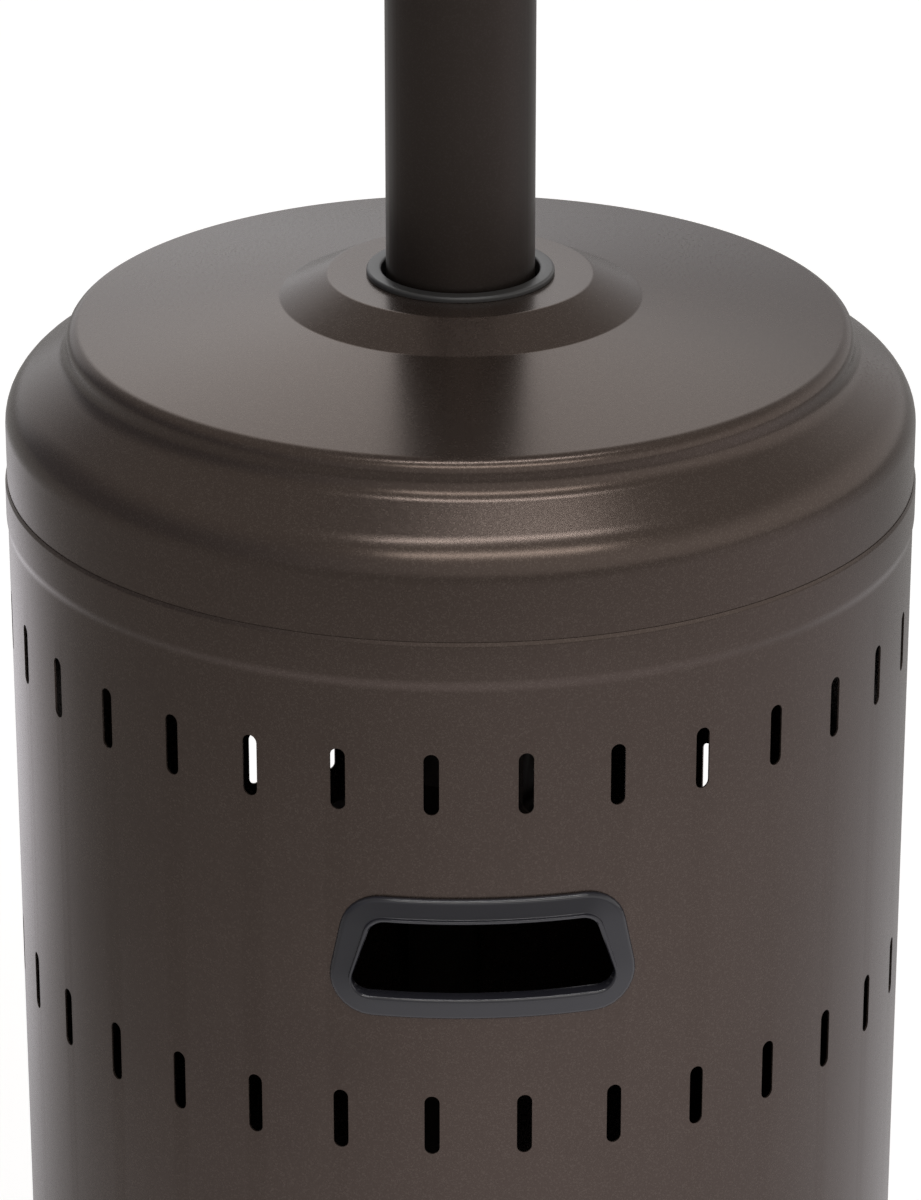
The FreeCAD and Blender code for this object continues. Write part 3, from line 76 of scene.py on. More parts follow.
MM = 0.001
FULL_TURN = 2 * math.pi
# Points nearer to each other than this are one point.
MERGE = 1e-6
# Faces that meet at less than this lie in one plane.
FLAT = math.radians(1.0)
# The share of a side that a round takes where it would otherwise use it up.
NEARLY = 0.999

Colour = tuple[float, float, float]
Corner = tuple[float, ...]

WHITE: Colour = (1.0, 1.0, 1.0)
BLACK: Colour = (0.0, 0.0, 0.0)


def shaded(colour: Colour, share: float) -> Colour:
    """Return a colour made darker or lighter by a share."""
    return tuple(share * part for part in colour)


class Body(Enum):
    """The moving bodies of the heater."""

    STAND = "stand"
    HOUSING = "housing"
    RIGHT_WHEEL = "right_wheel"
    LEFT_WHEEL = "left_wheel"
    KNOB = "knob"
    BUTTON = "button"


class Slot(Enum):
    """The record's material slots."""

    BRONZE = "bronze_paint"
    POST = "post_paint"
    FRAME = "frame_paint"
    GRIP = "grip_plastic"
    BLACK = "black_plastic"
    WHEEL = "wheel_plastic"
    RED = "red_plastic"
    RUBBER = "rubber"
    ZINC = "zinc_steel"
    CAST = "cast_alloy"
    BRASS = "brass"
    BURNER = "burner_steel"
    CERAMIC = "ceramic"
    EMITTER = "emitter_steel"
    REFLECTOR = "reflector_aluminium"


class Smoothness(Enum):
    """How many segments a turned piece has round its axis."""

    LARGE = 256
    MEDIUM = 128
    SMALL = 64
    TINY = 40


class Field:
    """A value that varies over a surface, and takes part in sums as a number does."""

    def __init__(self, nodes: "Nodes", socket: bpy.types.NodeSocket) -> None:
        """Wrap an output socket.

        Args:
            nodes: The tree that the sums go into.
            socket: The output socket that gives the value.
        """
        self.nodes = nodes
        self.socket = socket

    def _sum(self, operation: str, first: Any, second: Any) -> "Field":
        """Add a Math node and return its result."""
        return self.nodes.field("ShaderNodeMath", {0: first, 1: second}, operation=operation)

    def __add__(self, other: Any) -> "Field":
        """Return self + other."""
        return self._sum("ADD", self, other)

    def __radd__(self, other: Any) -> "Field":
        """Return other + self."""
        return self._sum("ADD", other, self)

    def __sub__(self, other: Any) -> "Field":
        """Return self - other."""
        return self._sum("SUBTRACT", self, other)

    def __rsub__(self, other: Any) -> "Field":
        """Return other - self."""
        return self._sum("SUBTRACT", other, self)

    def __mul__(self, other: Any) -> "Field":
        """Return self * other."""
        return self._sum("MULTIPLY", self, other)

    def __rmul__(self, other: Any) -> "Field":
        """Return other * self."""
        return self._sum("MULTIPLY", other, self)

    def __gt__(self, other: Any) -> "Field":
        """Return 1 where self is above other, and 0 elsewhere."""
        return self._sum("GREATER_THAN", self, other)


class Nodes:
    """A node tree that nodes are added to."""

    def __init__(self, tree: bpy.types.NodeTree) -> None:
        """Wrap a node tree.

        Args:
            tree: The tree.
        """
        self.tree = tree

    def node(
        self,
        kind: str,
        settings: dict[str, Any] | None = None,
        inputs: dict[Any, Any] | None = None,
    ) -> bpy.types.Node:
        """Add a node.

        Args:
            kind: The node's type.
            settings: Its properties, set first.
            inputs: Values or links for its sockets.

        Returns:
            The new node.
        """
        made = self.tree.nodes.new(kind)
        for key, value in (settings or {}).items():
            setattr(made, key, value)
        for key, value in (inputs or {}).items():
            self.feed(made.inputs[key], value)
        return made

    def field(self, kind: str, inputs: dict[Any, Any], output: Any = 0, **settings: Any) -> "Field":
        """Add a node and return one of its outputs as a field."""
        return Field(self, self.node(kind, settings, inputs).outputs[output])

    def along(self, place: bpy.types.NodeSocket, axis: Sequence[float]) -> "Field":
        """Return how far a vector reaches along an axis."""
        return self.field("ShaderNodeVectorMath", {0: place, 1: axis}, "Value", operation="DOT_PRODUCT")

    def feed(self, socket: bpy.types.NodeSocket, value: Any) -> None:
        """Link a value to a socket, or set it there.

        Args:
            socket: The input socket.
            value: A field, an output socket, or a constant.
        """
        if isinstance(value, Field):
            value = value.socket
        if isinstance(value, bpy.types.NodeSocket):
            self.tree.links.new(value, socket)
        else:
            socket.default_value = value

    def ramp(
        self,
        value: "Field",
        low: float,
        high: float,
        first: float = 0.0,
        last: float = 1.0,
    ) -> "Field":
        """Bring a value from low..high to first..last, and hold it there.

        Args:
            value: The value.
            low: Where the change starts.
            high: Where it ends.
            first: The result at the start.
            last: The result at the end.

        Returns:
            The result, which eases in and out.
        """
        inputs = {"Value": value, "From Min": low, "From Max": high, "To Min": first, "To Max": last}
        return self.field("ShaderNodeMapRange", inputs, interpolation_type="SMOOTHSTEP")

    def mix(
        self,
        factor: Any,
        first: Any,
        second: Any,
        blend: str = "MIX",
    ) -> bpy.types.NodeSocket:
        """Mix two colours.

        Args:
            factor: The second colour's share.
            first: A colour or its socket.
            second: A colour or its socket.
            blend: How the second colour joins the first.

        Returns:
            The mixed colour's socket.
        """
        colours = [(*c, 1.0) if isinstance(c, tuple) else c for c in (first, second)]
        inputs = {0: factor, 6: colours[0], 7: colours[1]}
        return self.node("ShaderNodeMix", {"data_type": "RGBA", "blend_type": blend}, inputs).outputs[2]


class Shader(Nodes):
    """The nodes of one material."""

    def __init__(self, name: str) -> None:
        """Start a material with its main shader and its object coordinates.

        Args:
            name: The material's name.
        """
        self.material = bpy.data.materials.new(name)
        self.material.use_nodes = True
        super().__init__(self.material.node_tree)
        self.surface = self.tree.nodes["Principled BSDF"]
        self.place = self.node("ShaderNodeTexCoord").outputs["Object"]

    def set(self, **inputs: Any) -> None:
        """Set the main shader's sockets; an underscore in a name stands for a space."""
        for name, value in inputs.items():
            self.feed(self.surface.inputs[name.replace("_", " ")], value)

    def stretched(self, scale: Sequence[float]) -> bpy.types.NodeSocket:
        """Return the object coordinates times a scale on each axis."""
        return self.node("ShaderNodeMapping", None, {"Vector": self.place, "Scale": scale}).outputs[0]

    def noise(self, scale: float, detail: float = 2.0, stretch: Sequence[float] | None = None) -> Field:
        """Return soft noise from 0 to 1.

        Args:
            scale: How many waves there are to a metre.
            detail: How many finer octaves are added.
            stretch: Further scale on each axis.

        Returns:
            The noise.
        """
        place = self.stretched(stretch) if stretch else self.place
        return self.field("ShaderNodeTexNoise", {"Vector": place, "Scale": scale, "Detail": detail})

    def grains(self, scale: float) -> Field:
        """Return cells that each hold one random value from 0 to 1, so many cells to a metre."""
        cells = self.node("ShaderNodeTexVoronoi", None, {"Vector": self.place, "Scale": scale})
        return self.field("ShaderNodeSeparateColor", {0: cells.outputs["Color"]})

    def radius(self) -> Field:
        """Return the distance from the object's Z axis."""
        flat = self.stretched((1.0, 1.0, 0.0))
        return self.field("ShaderNodeVectorMath", {0: flat}, "Value", operation="LENGTH")

    def distance(self, place: Sequence[float]) -> Field:
        """Return the distance from a point in the object's space."""
        ends = {0: self.place, 1: place}
        return self.field("ShaderNodeVectorMath", ends, "Value", operation="DISTANCE")

    def height(self) -> Field:
        """Return the height above the floor."""
        return self.field("ShaderNodeSeparateXYZ", {0: self.place}, "Z")

    def relief(self, height: Field, strength: float, depth: float) -> None:
        """Give the surface small bumps.

        Args:
            height: The relief, from 0 to 1.
            strength: How strongly it shows.
            depth: How deep it is, in metres.
        """
        inputs = {"Strength": strength, "Distance": depth, "Height": height}
        self.set(Normal=self.node("ShaderNodeBump", None, inputs).outputs[0])

    def rough(self, level: float, *spreads: tuple[Field, float]) -> None:
        """Set the roughness.

        Args:
            level: Its mean.
            spreads: Fields from 0 to 1, each with how far it spreads the roughness.
        """
        for field, width in spreads:
            level = level + width * (field - 0.5)
        self.set(Roughness=level)


@dataclass(frozen=True)
class PowderCoat:
    """Satin metallic powder coat: bright flakes in a dark base, under a slight orange peel."""

    base: Colour
    flake: Colour
    roughness: float = 0.32
    metallic: float = 0.75
    sparkle: float = 0.14
    flakes_per_metre: float = 2000.0
    flake_rarity: float = 0.8
    flake_spread: float = 0.06
    clouds_per_metre: float = 9.0
    cloud_shades: tuple[float, float] = (0.86, 1.12)
    cloud_spread: float = 0.05
    peel_per_metre: float = 420.0
    peel_strength: float = 0.35
    peel_depth: float = 0.03 * MM

    def dress(self, shader: Shader) -> None:
        """Build the finish.

        Args:
            shader: The shader that it goes into.
        """
        cloud = shader.noise(self.clouds_per_metre, detail=3.0)
        grain = shader.grains(self.flakes_per_metre)
        deep, lit = (shaded(self.base, shade) for shade in self.cloud_shades)
        flakes = (grain > self.flake_rarity) * self.sparkle
        shader.set(Base_Color=shader.mix(flakes, shader.mix(cloud, deep, lit), self.flake))
        shader.rough(self.roughness, (grain, self.flake_spread), (cloud, self.cloud_spread))
        shader.set(Metallic=self.metallic)
        shader.relief(shader.noise(self.peel_per_metre), self.peel_strength, self.peel_depth)


@dataclass(frozen=True)
class Moulding:
    """Moulded plastic or rubber with a fine spark-eroded grain and a pale bloom."""

    colour: Colour
    roughness: float = 0.42
    grain_per_metre: float = 1900.0
    grain_strength: float = 0.25
    bloom: float = 0.10
    bloom_grey: float = 0.4
    bloom_share: float = 0.45
    grain_depth: float = 0.04 * MM
    grain_spread: float = 0.12
    clouds_per_metre: float = 22.0
    cloud_spread: float = 0.08

    def dress(self, shader: Shader) -> None:
        """Build the finish.

        Args:
            shader: The shader that it goes into.
        """
        cloud = shader.noise(self.clouds_per_metre, detail=3.0)
        grain = shader.noise(self.grain_per_metre, detail=1.0)
        faded = tuple(c + self.bloom * (self.bloom_grey - c) for c in self.colour)
        shader.set(Base_Color=shader.mix(self.bloom_share * cloud, self.colour, faded))
        shader.rough(self.roughness, (grain, self.grain_spread), (cloud, self.cloud_spread))
        shader.relief(grain, self.grain_strength, self.grain_depth)


@dataclass(frozen=True)
class Metal:
    """Bare or plated metal, with grain drawn out along an axis and a slight stain."""

    colour: Colour
    stain: Colour
    roughness: float = 0.32
    stretch: tuple[float, float, float] = (1.0, 1.0, 1.0)
    grain_per_metre: float = 900.0
    grain_strength: float = 0.12
    grain_depth: float = 0.03 * MM
    grain_spread: float = 0.22
    clouds_per_metre: float = 35.0
    cloud_spread: float = 0.12
    stain_range: tuple[float, float] = (0.45, 0.85)
    stain_share: float = 0.5

    def dress(self, shader: Shader) -> None:
        """Build the finish.

        Args:
            shader: The shader that it goes into.
        """
        cloud = shader.noise(self.clouds_per_metre, detail=4.0)
        grain = shader.noise(self.grain_per_metre, stretch=self.stretch)
        stained = shader.ramp(cloud, *self.stain_range) * self.stain_share
        shader.set(Base_Color=shader.mix(stained, self.colour, self.stain))
        shader.rough(self.roughness, (grain, self.grain_spread), (cloud, self.cloud_spread))
        shader.set(Metallic=1.0)
        shader.relief(grain, self.grain_strength, self.grain_depth)


@dataclass(frozen=True)
class SpunMetal:
    """Spun sheet, with fine rings round its axis and a slight heat tint towards its middle."""

    colour: Colour
    tint: Colour
    tint_radius: float
    roughness: float = 0.24
    rings_per_metre: float = 700.0
    ring_strength: float = 0.18
    ring_depth: float = 0.04 * MM
    ring_spread: float = 0.16
    clouds_per_metre: float = 7.0
    cloud_spread: float = 0.12
    tint_least: float = 0.35
    tint_spread: float = 0.5

    def dress(self, shader: Shader) -> None:
        """Build the finish.

        Args:
            shader: The shader that it goes into.
        """
        radius = shader.radius()
        across = shader.node("ShaderNodeCombineXYZ", None, {0: radius}).outputs[0]
        rings = shader.field("ShaderNodeTexNoise", {"Vector": across, "Scale": self.rings_per_metre})
        cloud = shader.noise(self.clouds_per_metre, detail=4.0)
        middle = 1.0 - shader.ramp(radius, 0.0, self.tint_radius)
        warm = middle * (self.tint_least + self.tint_spread * cloud)
        shader.set(Base_Color=shader.mix(warm, self.colour, self.tint))
        shader.rough(self.roughness, (rings, self.ring_spread), (cloud, self.cloud_spread))
        shader.set(Metallic=1.0)
        shader.relief(rings, self.ring_strength, self.ring_depth)


@dataclass(frozen=True)
class HeatedSteel:
    """Stainless sheet that has glowed: straw and blue bands up its height over bare steel.

    A band has a start and an end, as shares of the way from low to high, and its strength.
    """

    colour: Colour
    straw: Colour
    blue: Colour
    low: float
    high: float
    roughness: float = 0.36
    straw_band: tuple[float, float, float] = (0.15, 0.55, 0.55)
    blue_band: tuple[float, float, float] = (0.62, 0.95, 0.5)
    band_drift: float = 0.05
    grain_per_metre: float = 800.0
    grain_stretch: tuple[float, float, float] = (1.0, 1.0, 0.08)
    grain_strength: float = 0.12
    grain_depth: float = 0.03 * MM
    grain_spread: float = 0.2
    clouds_per_metre: float = 14.0
    cloud_spread: float = 0.14

    def dress(self, shader: Shader) -> None:
        """Build the finish.

        Args:
            shader: The shader that it goes into.
        """
        cloud = shader.noise(self.clouds_per_metre, detail=4.0)
        grain = shader.noise(self.grain_per_metre, stretch=self.grain_stretch)
        rise = shader.ramp(shader.height() + self.band_drift * (cloud - 0.5), self.low, self.high)
        colour = self.colour
        bands = ((*self.straw_band, self.straw), (*self.blue_band, self.blue))
        for start, end, strength, tint in bands:
            colour = shader.mix(shader.ramp(rise, start, end) * strength, colour, tint)
        shader.set(Base_Color=colour)
        shader.rough(self.roughness, (grain, self.grain_spread), (cloud, self.cloud_spread))
        shader.set(Metallic=1.0)
        shader.relief(grain, self.grain_strength, self.grain_depth)


@dataclass(frozen=True)
class Glaze:
    """Glossy plastic or glazed ceramic, with soft unevenness under a clear skin."""

    colour: Colour
    roughness: float = 0.18
    coat: float = 0.4
    clouds_per_metre: float = 60.0
    cloud_shade: float = 0.82
    cloud_spread: float = 0.1
    cloud_strength: float = 0.1
    cloud_depth: float = 0.03 * MM

    def dress(self, shader: Shader) -> None:
        """Build the finish.

        Args:
            shader: The shader that it goes into.
        """
        cloud = shader.noise(self.clouds_per_metre, detail=3.0)
        shader.set(Base_Color=shader.mix(cloud, shaded(self.colour, self.cloud_shade), self.colour))
        shader.rough(self.roughness, (cloud, self.cloud_spread))
        shader.set(Coat_Weight=self.coat)
        shader.relief(cloud, self.cloud_strength, self.cloud_depth)


FINISHES: dict[Slot, Any] = {
    Slot.BRONZE: PowderCoat((0.066, 0.049, 0.041), (0.26, 0.22, 0.19), roughness=0.25, sparkle=0.09),
    Slot.POST: PowderCoat((0.037, 0.029, 0.025), (0.13, 0.11, 0.10), roughness=0.32, sparkle=0.07),
    Slot.FRAME: PowderCoat((0.056, 0.042, 0.035), (0.24, 0.20, 0.17), roughness=0.42, metallic=0.6),
    Slot.GRIP: Moulding((0.012, 0.012, 0.017), 0.15, grain_strength=0.05, bloom=0.06),
    Slot.BLACK: Moulding((0.016, 0.016, 0.016), 0.36),
    Slot.WHEEL: Moulding((0.020, 0.020, 0.021), 0.50, grain_strength=0.4),
    Slot.RED: Glaze((0.42, 0.018, 0.014)),
    Slot.RUBBER: Moulding((0.018, 0.018, 0.018), 0.75, grain_strength=0.6),
    Slot.ZINC: Metal((0.60, 0.60, 0.58), (0.42, 0.41, 0.38), 0.34),
    Slot.CAST: Metal(
        (0.48, 0.48, 0.48), (0.34, 0.34, 0.34), 0.5, grain_per_metre=600.0, grain_strength=0.4
    ),
    Slot.BRASS: Metal((0.70, 0.52, 0.24), (0.45, 0.31, 0.14), 0.3),
    Slot.BURNER: Metal((0.50, 0.49, 0.46), (0.36, 0.30, 0.24), 0.36, stretch=(1.0, 1.0, 0.1)),
    Slot.CERAMIC: Glaze((0.80, 0.77, 0.70)),
    Slot.EMITTER: HeatedSteel(
        (0.52, 0.50, 0.47), (0.50, 0.38, 0.22), (0.20, 0.22, 0.34), low=1.95, high=2.19
    ),
    Slot.REFLECTOR: SpunMetal(
        (0.58, 0.58, 0.59), (0.50, 0.44, 0.37), tint_radius=0.16, roughness=0.30
    ),
}


class PaintShop:
    """Makes each slot's material once and puts it on pieces."""

    def __init__(self) -> None:
        """Start with no material made."""
        self.made: dict[Slot, bpy.types.Material] = {}

    def material(self, slot: Slot) -> bpy.types.Material:
        """Return a slot's material.

        Args:
            slot: The record's slot.

        Returns:
            The material, made on first use.
        """
        if slot not in self.made:
            shader = Shader(slot.value)
            FINISHES[slot].dress(shader)
            self.made[slot] = shader.material
        return self.made[slot]

    def coat(self, piece: bpy.types.Object, slot: Slot) -> None:
        """Give a piece one slot's material.

        Args:
            piece: The piece.
            slot: Its slot.
        """
        piece.data.materials.clear()
        piece.data.materials.append(self.material(slot))


paint = PaintShop()


def rounded(corners: Sequence[Corner], steps: int = 5, closed: bool = True) -> list[Vector]:
    """Turn corners into points, with an arc at each rounded one.

    Args:
        corners: Two sizes for the place of each, and a third for the radius of its round.
        steps: How many segments an arc has.
        closed: Whether the last corner joins the first.

    Returns:
        The points in order.
    """
    places = [Vector(corner[:2]) for corner in corners]
    points = []
    for index, corner in enumerate(corners):
        here = places[index]
        at_end = not closed and index in (0, len(corners) - 1)
        if len(corner) < 3 or at_end:
            points.append(here)
            continue
        back = (places[index - 1] - here).normalized()
        onward = (places[(index + 1) % len(places)] - here).normalized()
        half = back.angle(onward) / 2
        centre = here + (back + onward).normalized() * corner[2] / math.sin(half)
        run = corner[2] / math.tan(half)
        start = here + back * run - centre
        end = here + onward * run - centre
        sweep = math.pi - 2 * half
        for step in range(steps + 1):
            share = step / steps
            first = start * math.sin((1 - share) * sweep)
            second = end * math.sin(share * sweep)
            points.append(centre + (first + second) / math.sin(sweep))
    return points


def divided(points: Sequence[Vector], counts: Sequence[int]) -> list[Vector]:
    """Split each side of a closed outline into equal parts.

    Args:
        points: The outline's corners.
        counts: How many parts each side gets.

    Returns:
        The points in order.
    """
    return [
        start.lerp(end, step / count)
        for start, end, count in zip(points, [*points[1:], points[0]], counts)
        for step in range(count)
    ]


def grown(corners: Sequence[Corner], margin: float) -> list[Corner]:
    """Grow an upright trapezoid's corners by a margin, and their rounds with it.

    Args:
        corners: The corners, centred on zero in both directions.
        margin: How far each side moves out; a negative one shrinks it.

    Returns:
        The new corners.
    """
    return [
        (x + math.copysign(margin, x), y + math.copysign(margin, y), radius + margin)
        for x, y, radius in corners
    ]


def oblong(half: float, near: float, far: float, corner: float = 0.0) -> list[Corner]:
    """Return the corners of a rectangle that is centred in X.

    Args:
        half: Half its width.
        near: Where it starts in Y.
        far: Where it ends in Y.
        corner: The round of its corners.

    Returns:
        The corners.
    """
    return [(x, y, corner) for x, y in ((-half, near), (half, near), (half, far), (-half, far))]


def verts_in(geom: Iterable[Any]) -> list[bmesh.types.BMVert]:
    """Return the vertices among the results of an operator."""
    return [item for item in geom if isinstance(item, bmesh.types.BMVert)]


class Solid:
    """A mesh in the making, shaped by bmesh operators."""

    def __init__(self) -> None:
        """Start with an empty mesh."""
        self.bm = bmesh.new()

    @classmethod
    def turned(
        cls,
        corners: Sequence[Corner],
        smoothness: Smoothness = Smoothness.MEDIUM,
        steps: int = 5,
    ) -> "Solid":
        """Turn a section about Z.

        Args:
            corners: The section's corners: radius, height and, where it is rounded, the round.
            smoothness: The segments round the axis.
            steps: The segments of each round.

        Returns:
            The solid.
        """
        solid = cls()
        on_axis = corners[0][0] == 0 and corners[-1][0] == 0
        points = rounded(corners, steps, closed=not on_axis)
        verts = [solid.bm.verts.new((point.x, 0.0, point.y)) for point in points]
        pairs = list(zip(verts, verts[1:]))
        if not on_axis:
            pairs.append((verts[-1], verts[0]))
        edges = [solid.bm.edges.new(pair) for pair in pairs]
        bmesh.ops.spin(
            solid.bm,
            geom=verts + edges,
            cent=(0, 0, 0),
            axis=(0, 0, 1),
            angle=FULL_TURN,
            steps=smoothness.value,
            use_merge=True,
        )
        return solid.tidied()

    @classmethod
    def block(cls, points: Iterable[Sequence[float]], depth: float) -> "Solid":
        """Raise a flat outline in X and Y by a depth along Z.

        Args:
            points: The outline's points.
            depth: How thick the block is.

        Returns:
            The solid.
        """
        solid = cls()
        verts = [solid.bm.verts.new((point[0], point[1], 0.0)) for point in points]
        face = solid.bm.faces.new(verts)
        raised = verts_in(bmesh.ops.extrude_face_region(solid.bm, geom=[face])["geom"])
        bmesh.ops.translate(solid.bm, vec=(0, 0, depth), verts=raised)
        return solid.tidied()

    @classmethod
    def rod(cls, radius: float, length: float, sides: int = Smoothness.TINY.value) -> "Solid":
        """Make an upright rod or prism that stands on Z = 0.

        Args:
            radius: Its radius.
            length: Its length.
            sides: How many sides it has.

        Returns:
            The solid.
        """
        solid = cls()
        bmesh.ops.create_cone(
            solid.bm,
            cap_ends=True,
            segments=sides,
            radius1=radius,
            radius2=radius,
            depth=length,
            matrix=Matrix.Translation((0, 0, length / 2)),
        )
        return solid

    @classmethod
    def copy_of(cls, node: str) -> "Solid":
        """Take a merged copy of a CAD node's mesh, with its flat faces whole.

        Args:
            node: The node.

        Returns:
            The solid.
        """
        solid = cls()
        solid.bm.from_mesh(frame["nodes"][node].data)
        bmesh.ops.remove_doubles(solid.bm, verts=solid.bm.verts, dist=MERGE)
        bmesh.ops.dissolve_limit(
            solid.bm,
            angle_limit=FLAT,
            verts=solid.bm.verts,
            edges=solid.bm.edges,
        )
        return solid

    def everything(self) -> list[Any]:
        """Return all the vertices, edges and faces that there are now."""
        return self.bm.verts[:] + self.bm.edges[:] + self.bm.faces[:]

    def tidied(self) -> "Solid":
        """Merge doubled points and turn the faces outwards.

        Returns:
            The same solid.
        """
        bmesh.ops.remove_doubles(self.bm, verts=self.bm.verts, dist=MERGE)
        bmesh.ops.recalc_face_normals(self.bm, faces=self.bm.faces)
        return self

    def softened(self, width: float, segments: int = 2, above: float = 35.0) -> "Solid":
        """Bevel the sharp edges.

        Args:
            width: How wide the bevel is.
            segments: How many facets it has.
            above: The least angle between two faces, in degrees, that makes an edge sharp.

        Returns:
            The same solid.
        """
        limit = math.radians(above)
        sharp = [e for e in self.bm.edges if len(e.link_faces) == 2 and e.calc_face_angle() > limit]
        bmesh.ops.bevel(
            self.bm,
            geom=sharp,
            offset=width,
            offset_type="OFFSET",
            segments=segments,
            profile=0.5,
            affect="EDGES",
            clamp_overlap=True,
            material=-1,
        )
        return self

    def moved(self, matrix: Matrix) -> "Solid":
        """Place the mesh by a matrix."""
        bmesh.ops.transform(self.bm, matrix=matrix, verts=self.bm.verts)
        return self

    def ring(self, count: int) -> "Solid":
        """Repeat the mesh evenly round the Z axis.

        Args:
            count: How many there are in the end.

        Returns:
            The same solid.
        """
        geom = self.everything()
        for index in range(1, count):
            copies = verts_in(bmesh.ops.duplicate(self.bm, geom=geom)["geom"])
            turn = Matrix.Rotation(FULL_TURN * index / count, 4, "Z")
            bmesh.ops.transform(self.bm, matrix=turn, verts=copies)
        return self

    def with_more(self, *others: "Solid") -> "Solid":
        """Add other solids to this mesh.

        Args:
            others: The solids, which this uses up.

        Returns:
            The same solid.
        """
        for other in others:
            mesh = bpy.data.meshes.new("part")
            other.bm.to_mesh(mesh)
            other.bm.free()
            self.bm.from_mesh(mesh)
            bpy.data.meshes.remove(mesh)
        return self

    def object(self, name: str) -> bpy.types.Object:
        """Finish the mesh and give it an object at the origin.

        Args:
            name: The object's name.

        Returns:
            The object.
        """
        mesh = bpy.data.meshes.new(name)
        self.bm.to_mesh(mesh)
        self.bm.free()
        made = bpy.data.objects.new(name, mesh)
        bpy.context.scene.collection.objects.link(made)
        return made

    def piece(self, name: str, body: Body, slot: Slot, *nodes: str) -> bpy.types.Object:
        """Finish the mesh as a piece of the heater.

        Args:
            name: The piece's name.
            body: The body that it moves with.
            slot: Its material slot.
            nodes: The CAD nodes that it stands for.

        Returns:
            The piece.
        """
        return finish(self.object(name), body, slot, *nodes)


def smooth(made: bpy.types.Object, angle: float = 32.0) -> None:
    """Shade a mesh smooth, with its edges over an angle in degrees kept sharp."""
    made.data.polygons.foreach_set("use_smooth", [True] * len(made.data.polygons))
    made.data.set_sharp_from_angle(angle=math.radians(angle))


def finish(made: bpy.types.Object, body: Body, slot: Slot, *nodes: str) -> bpy.types.Object:
    """Shade, paint and seat an object.

    Args:
        made: The object.
        body: The body that it moves with.
        slot: Its material slot.
        nodes: The CAD nodes that it stands for.

    Returns:
        The same object.
    """
    smooth(made)
    paint.coat(made, slot)
    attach(made, body.value)
    if nodes:
        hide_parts(*nodes)
    log.info("%s rides on %s, %d faces", made.name, body.value, len(made.data.polygons))
    return made


def carve(made: bpy.types.Object, *cutters: Solid) -> bpy.types.Object:
    """Cut solids out of an object's mesh.

    Args:
        made: The object.
        cutters: The solids, which this uses up.

    Returns:
        The same object.
    """
    tool = cutters[0].with_more(*cutters[1:]).object(f"{made.name}_cutter")
    cutting = made.modifiers.new("cut", "BOOLEAN")
    cutting.operation = "DIFFERENCE"
    cutting.solver = "EXACT"
    cutting.object = tool
    depsgraph = bpy.context.evaluated_depsgraph_get()
    mesh = bpy.data.meshes.new_from_object(made.evaluated_get(depsgraph))
    mesh.name = made.name
    made.modifiers.clear()
    made.data = mesh
    bpy.data.objects.remove(tool)
    return made


def heading(azimuth: float, elevation: float) -> Vector:
    """Return the unit vector of a direction.

    Args:
        azimuth: Degrees from the front, -Y, towards +X.
        elevation: Degrees above level.

    Returns:
        The vector.
    """
    around, up = math.radians(azimuth), math.radians(elevation)
    return Vector((math.sin(around) * math.cos(up), -math.cos(around) * math.cos(up), math.sin(up)))


def facing(azimuth: float, radius: float, height: float) -> Matrix:
    """Return the matrix that stands a flat outline against a round wall.

    Args:
        azimuth: Degrees from the front, -Y, towards +X.
        radius: The distance from the post's axis.
        height: The height above the floor.

    Returns:
        The matrix: X stays level, Y goes up and Z points out from the axis.
    """
    out = Matrix.Rotation(math.radians(azimuth), 4, "Z")
    upright = Matrix.Rotation(math.radians(90), 4, "X")
    return Matrix.Translation((0, 0, height)) @ out @ upright @ Matrix.Translation((0, 0, radius))


def low(node: str) -> Vector:
    """Return a CAD node's lowest corner."""
    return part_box(node)[0]


def high(node: str) -> Vector:
    """Return a CAD node's highest corner."""
    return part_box(node)[1]


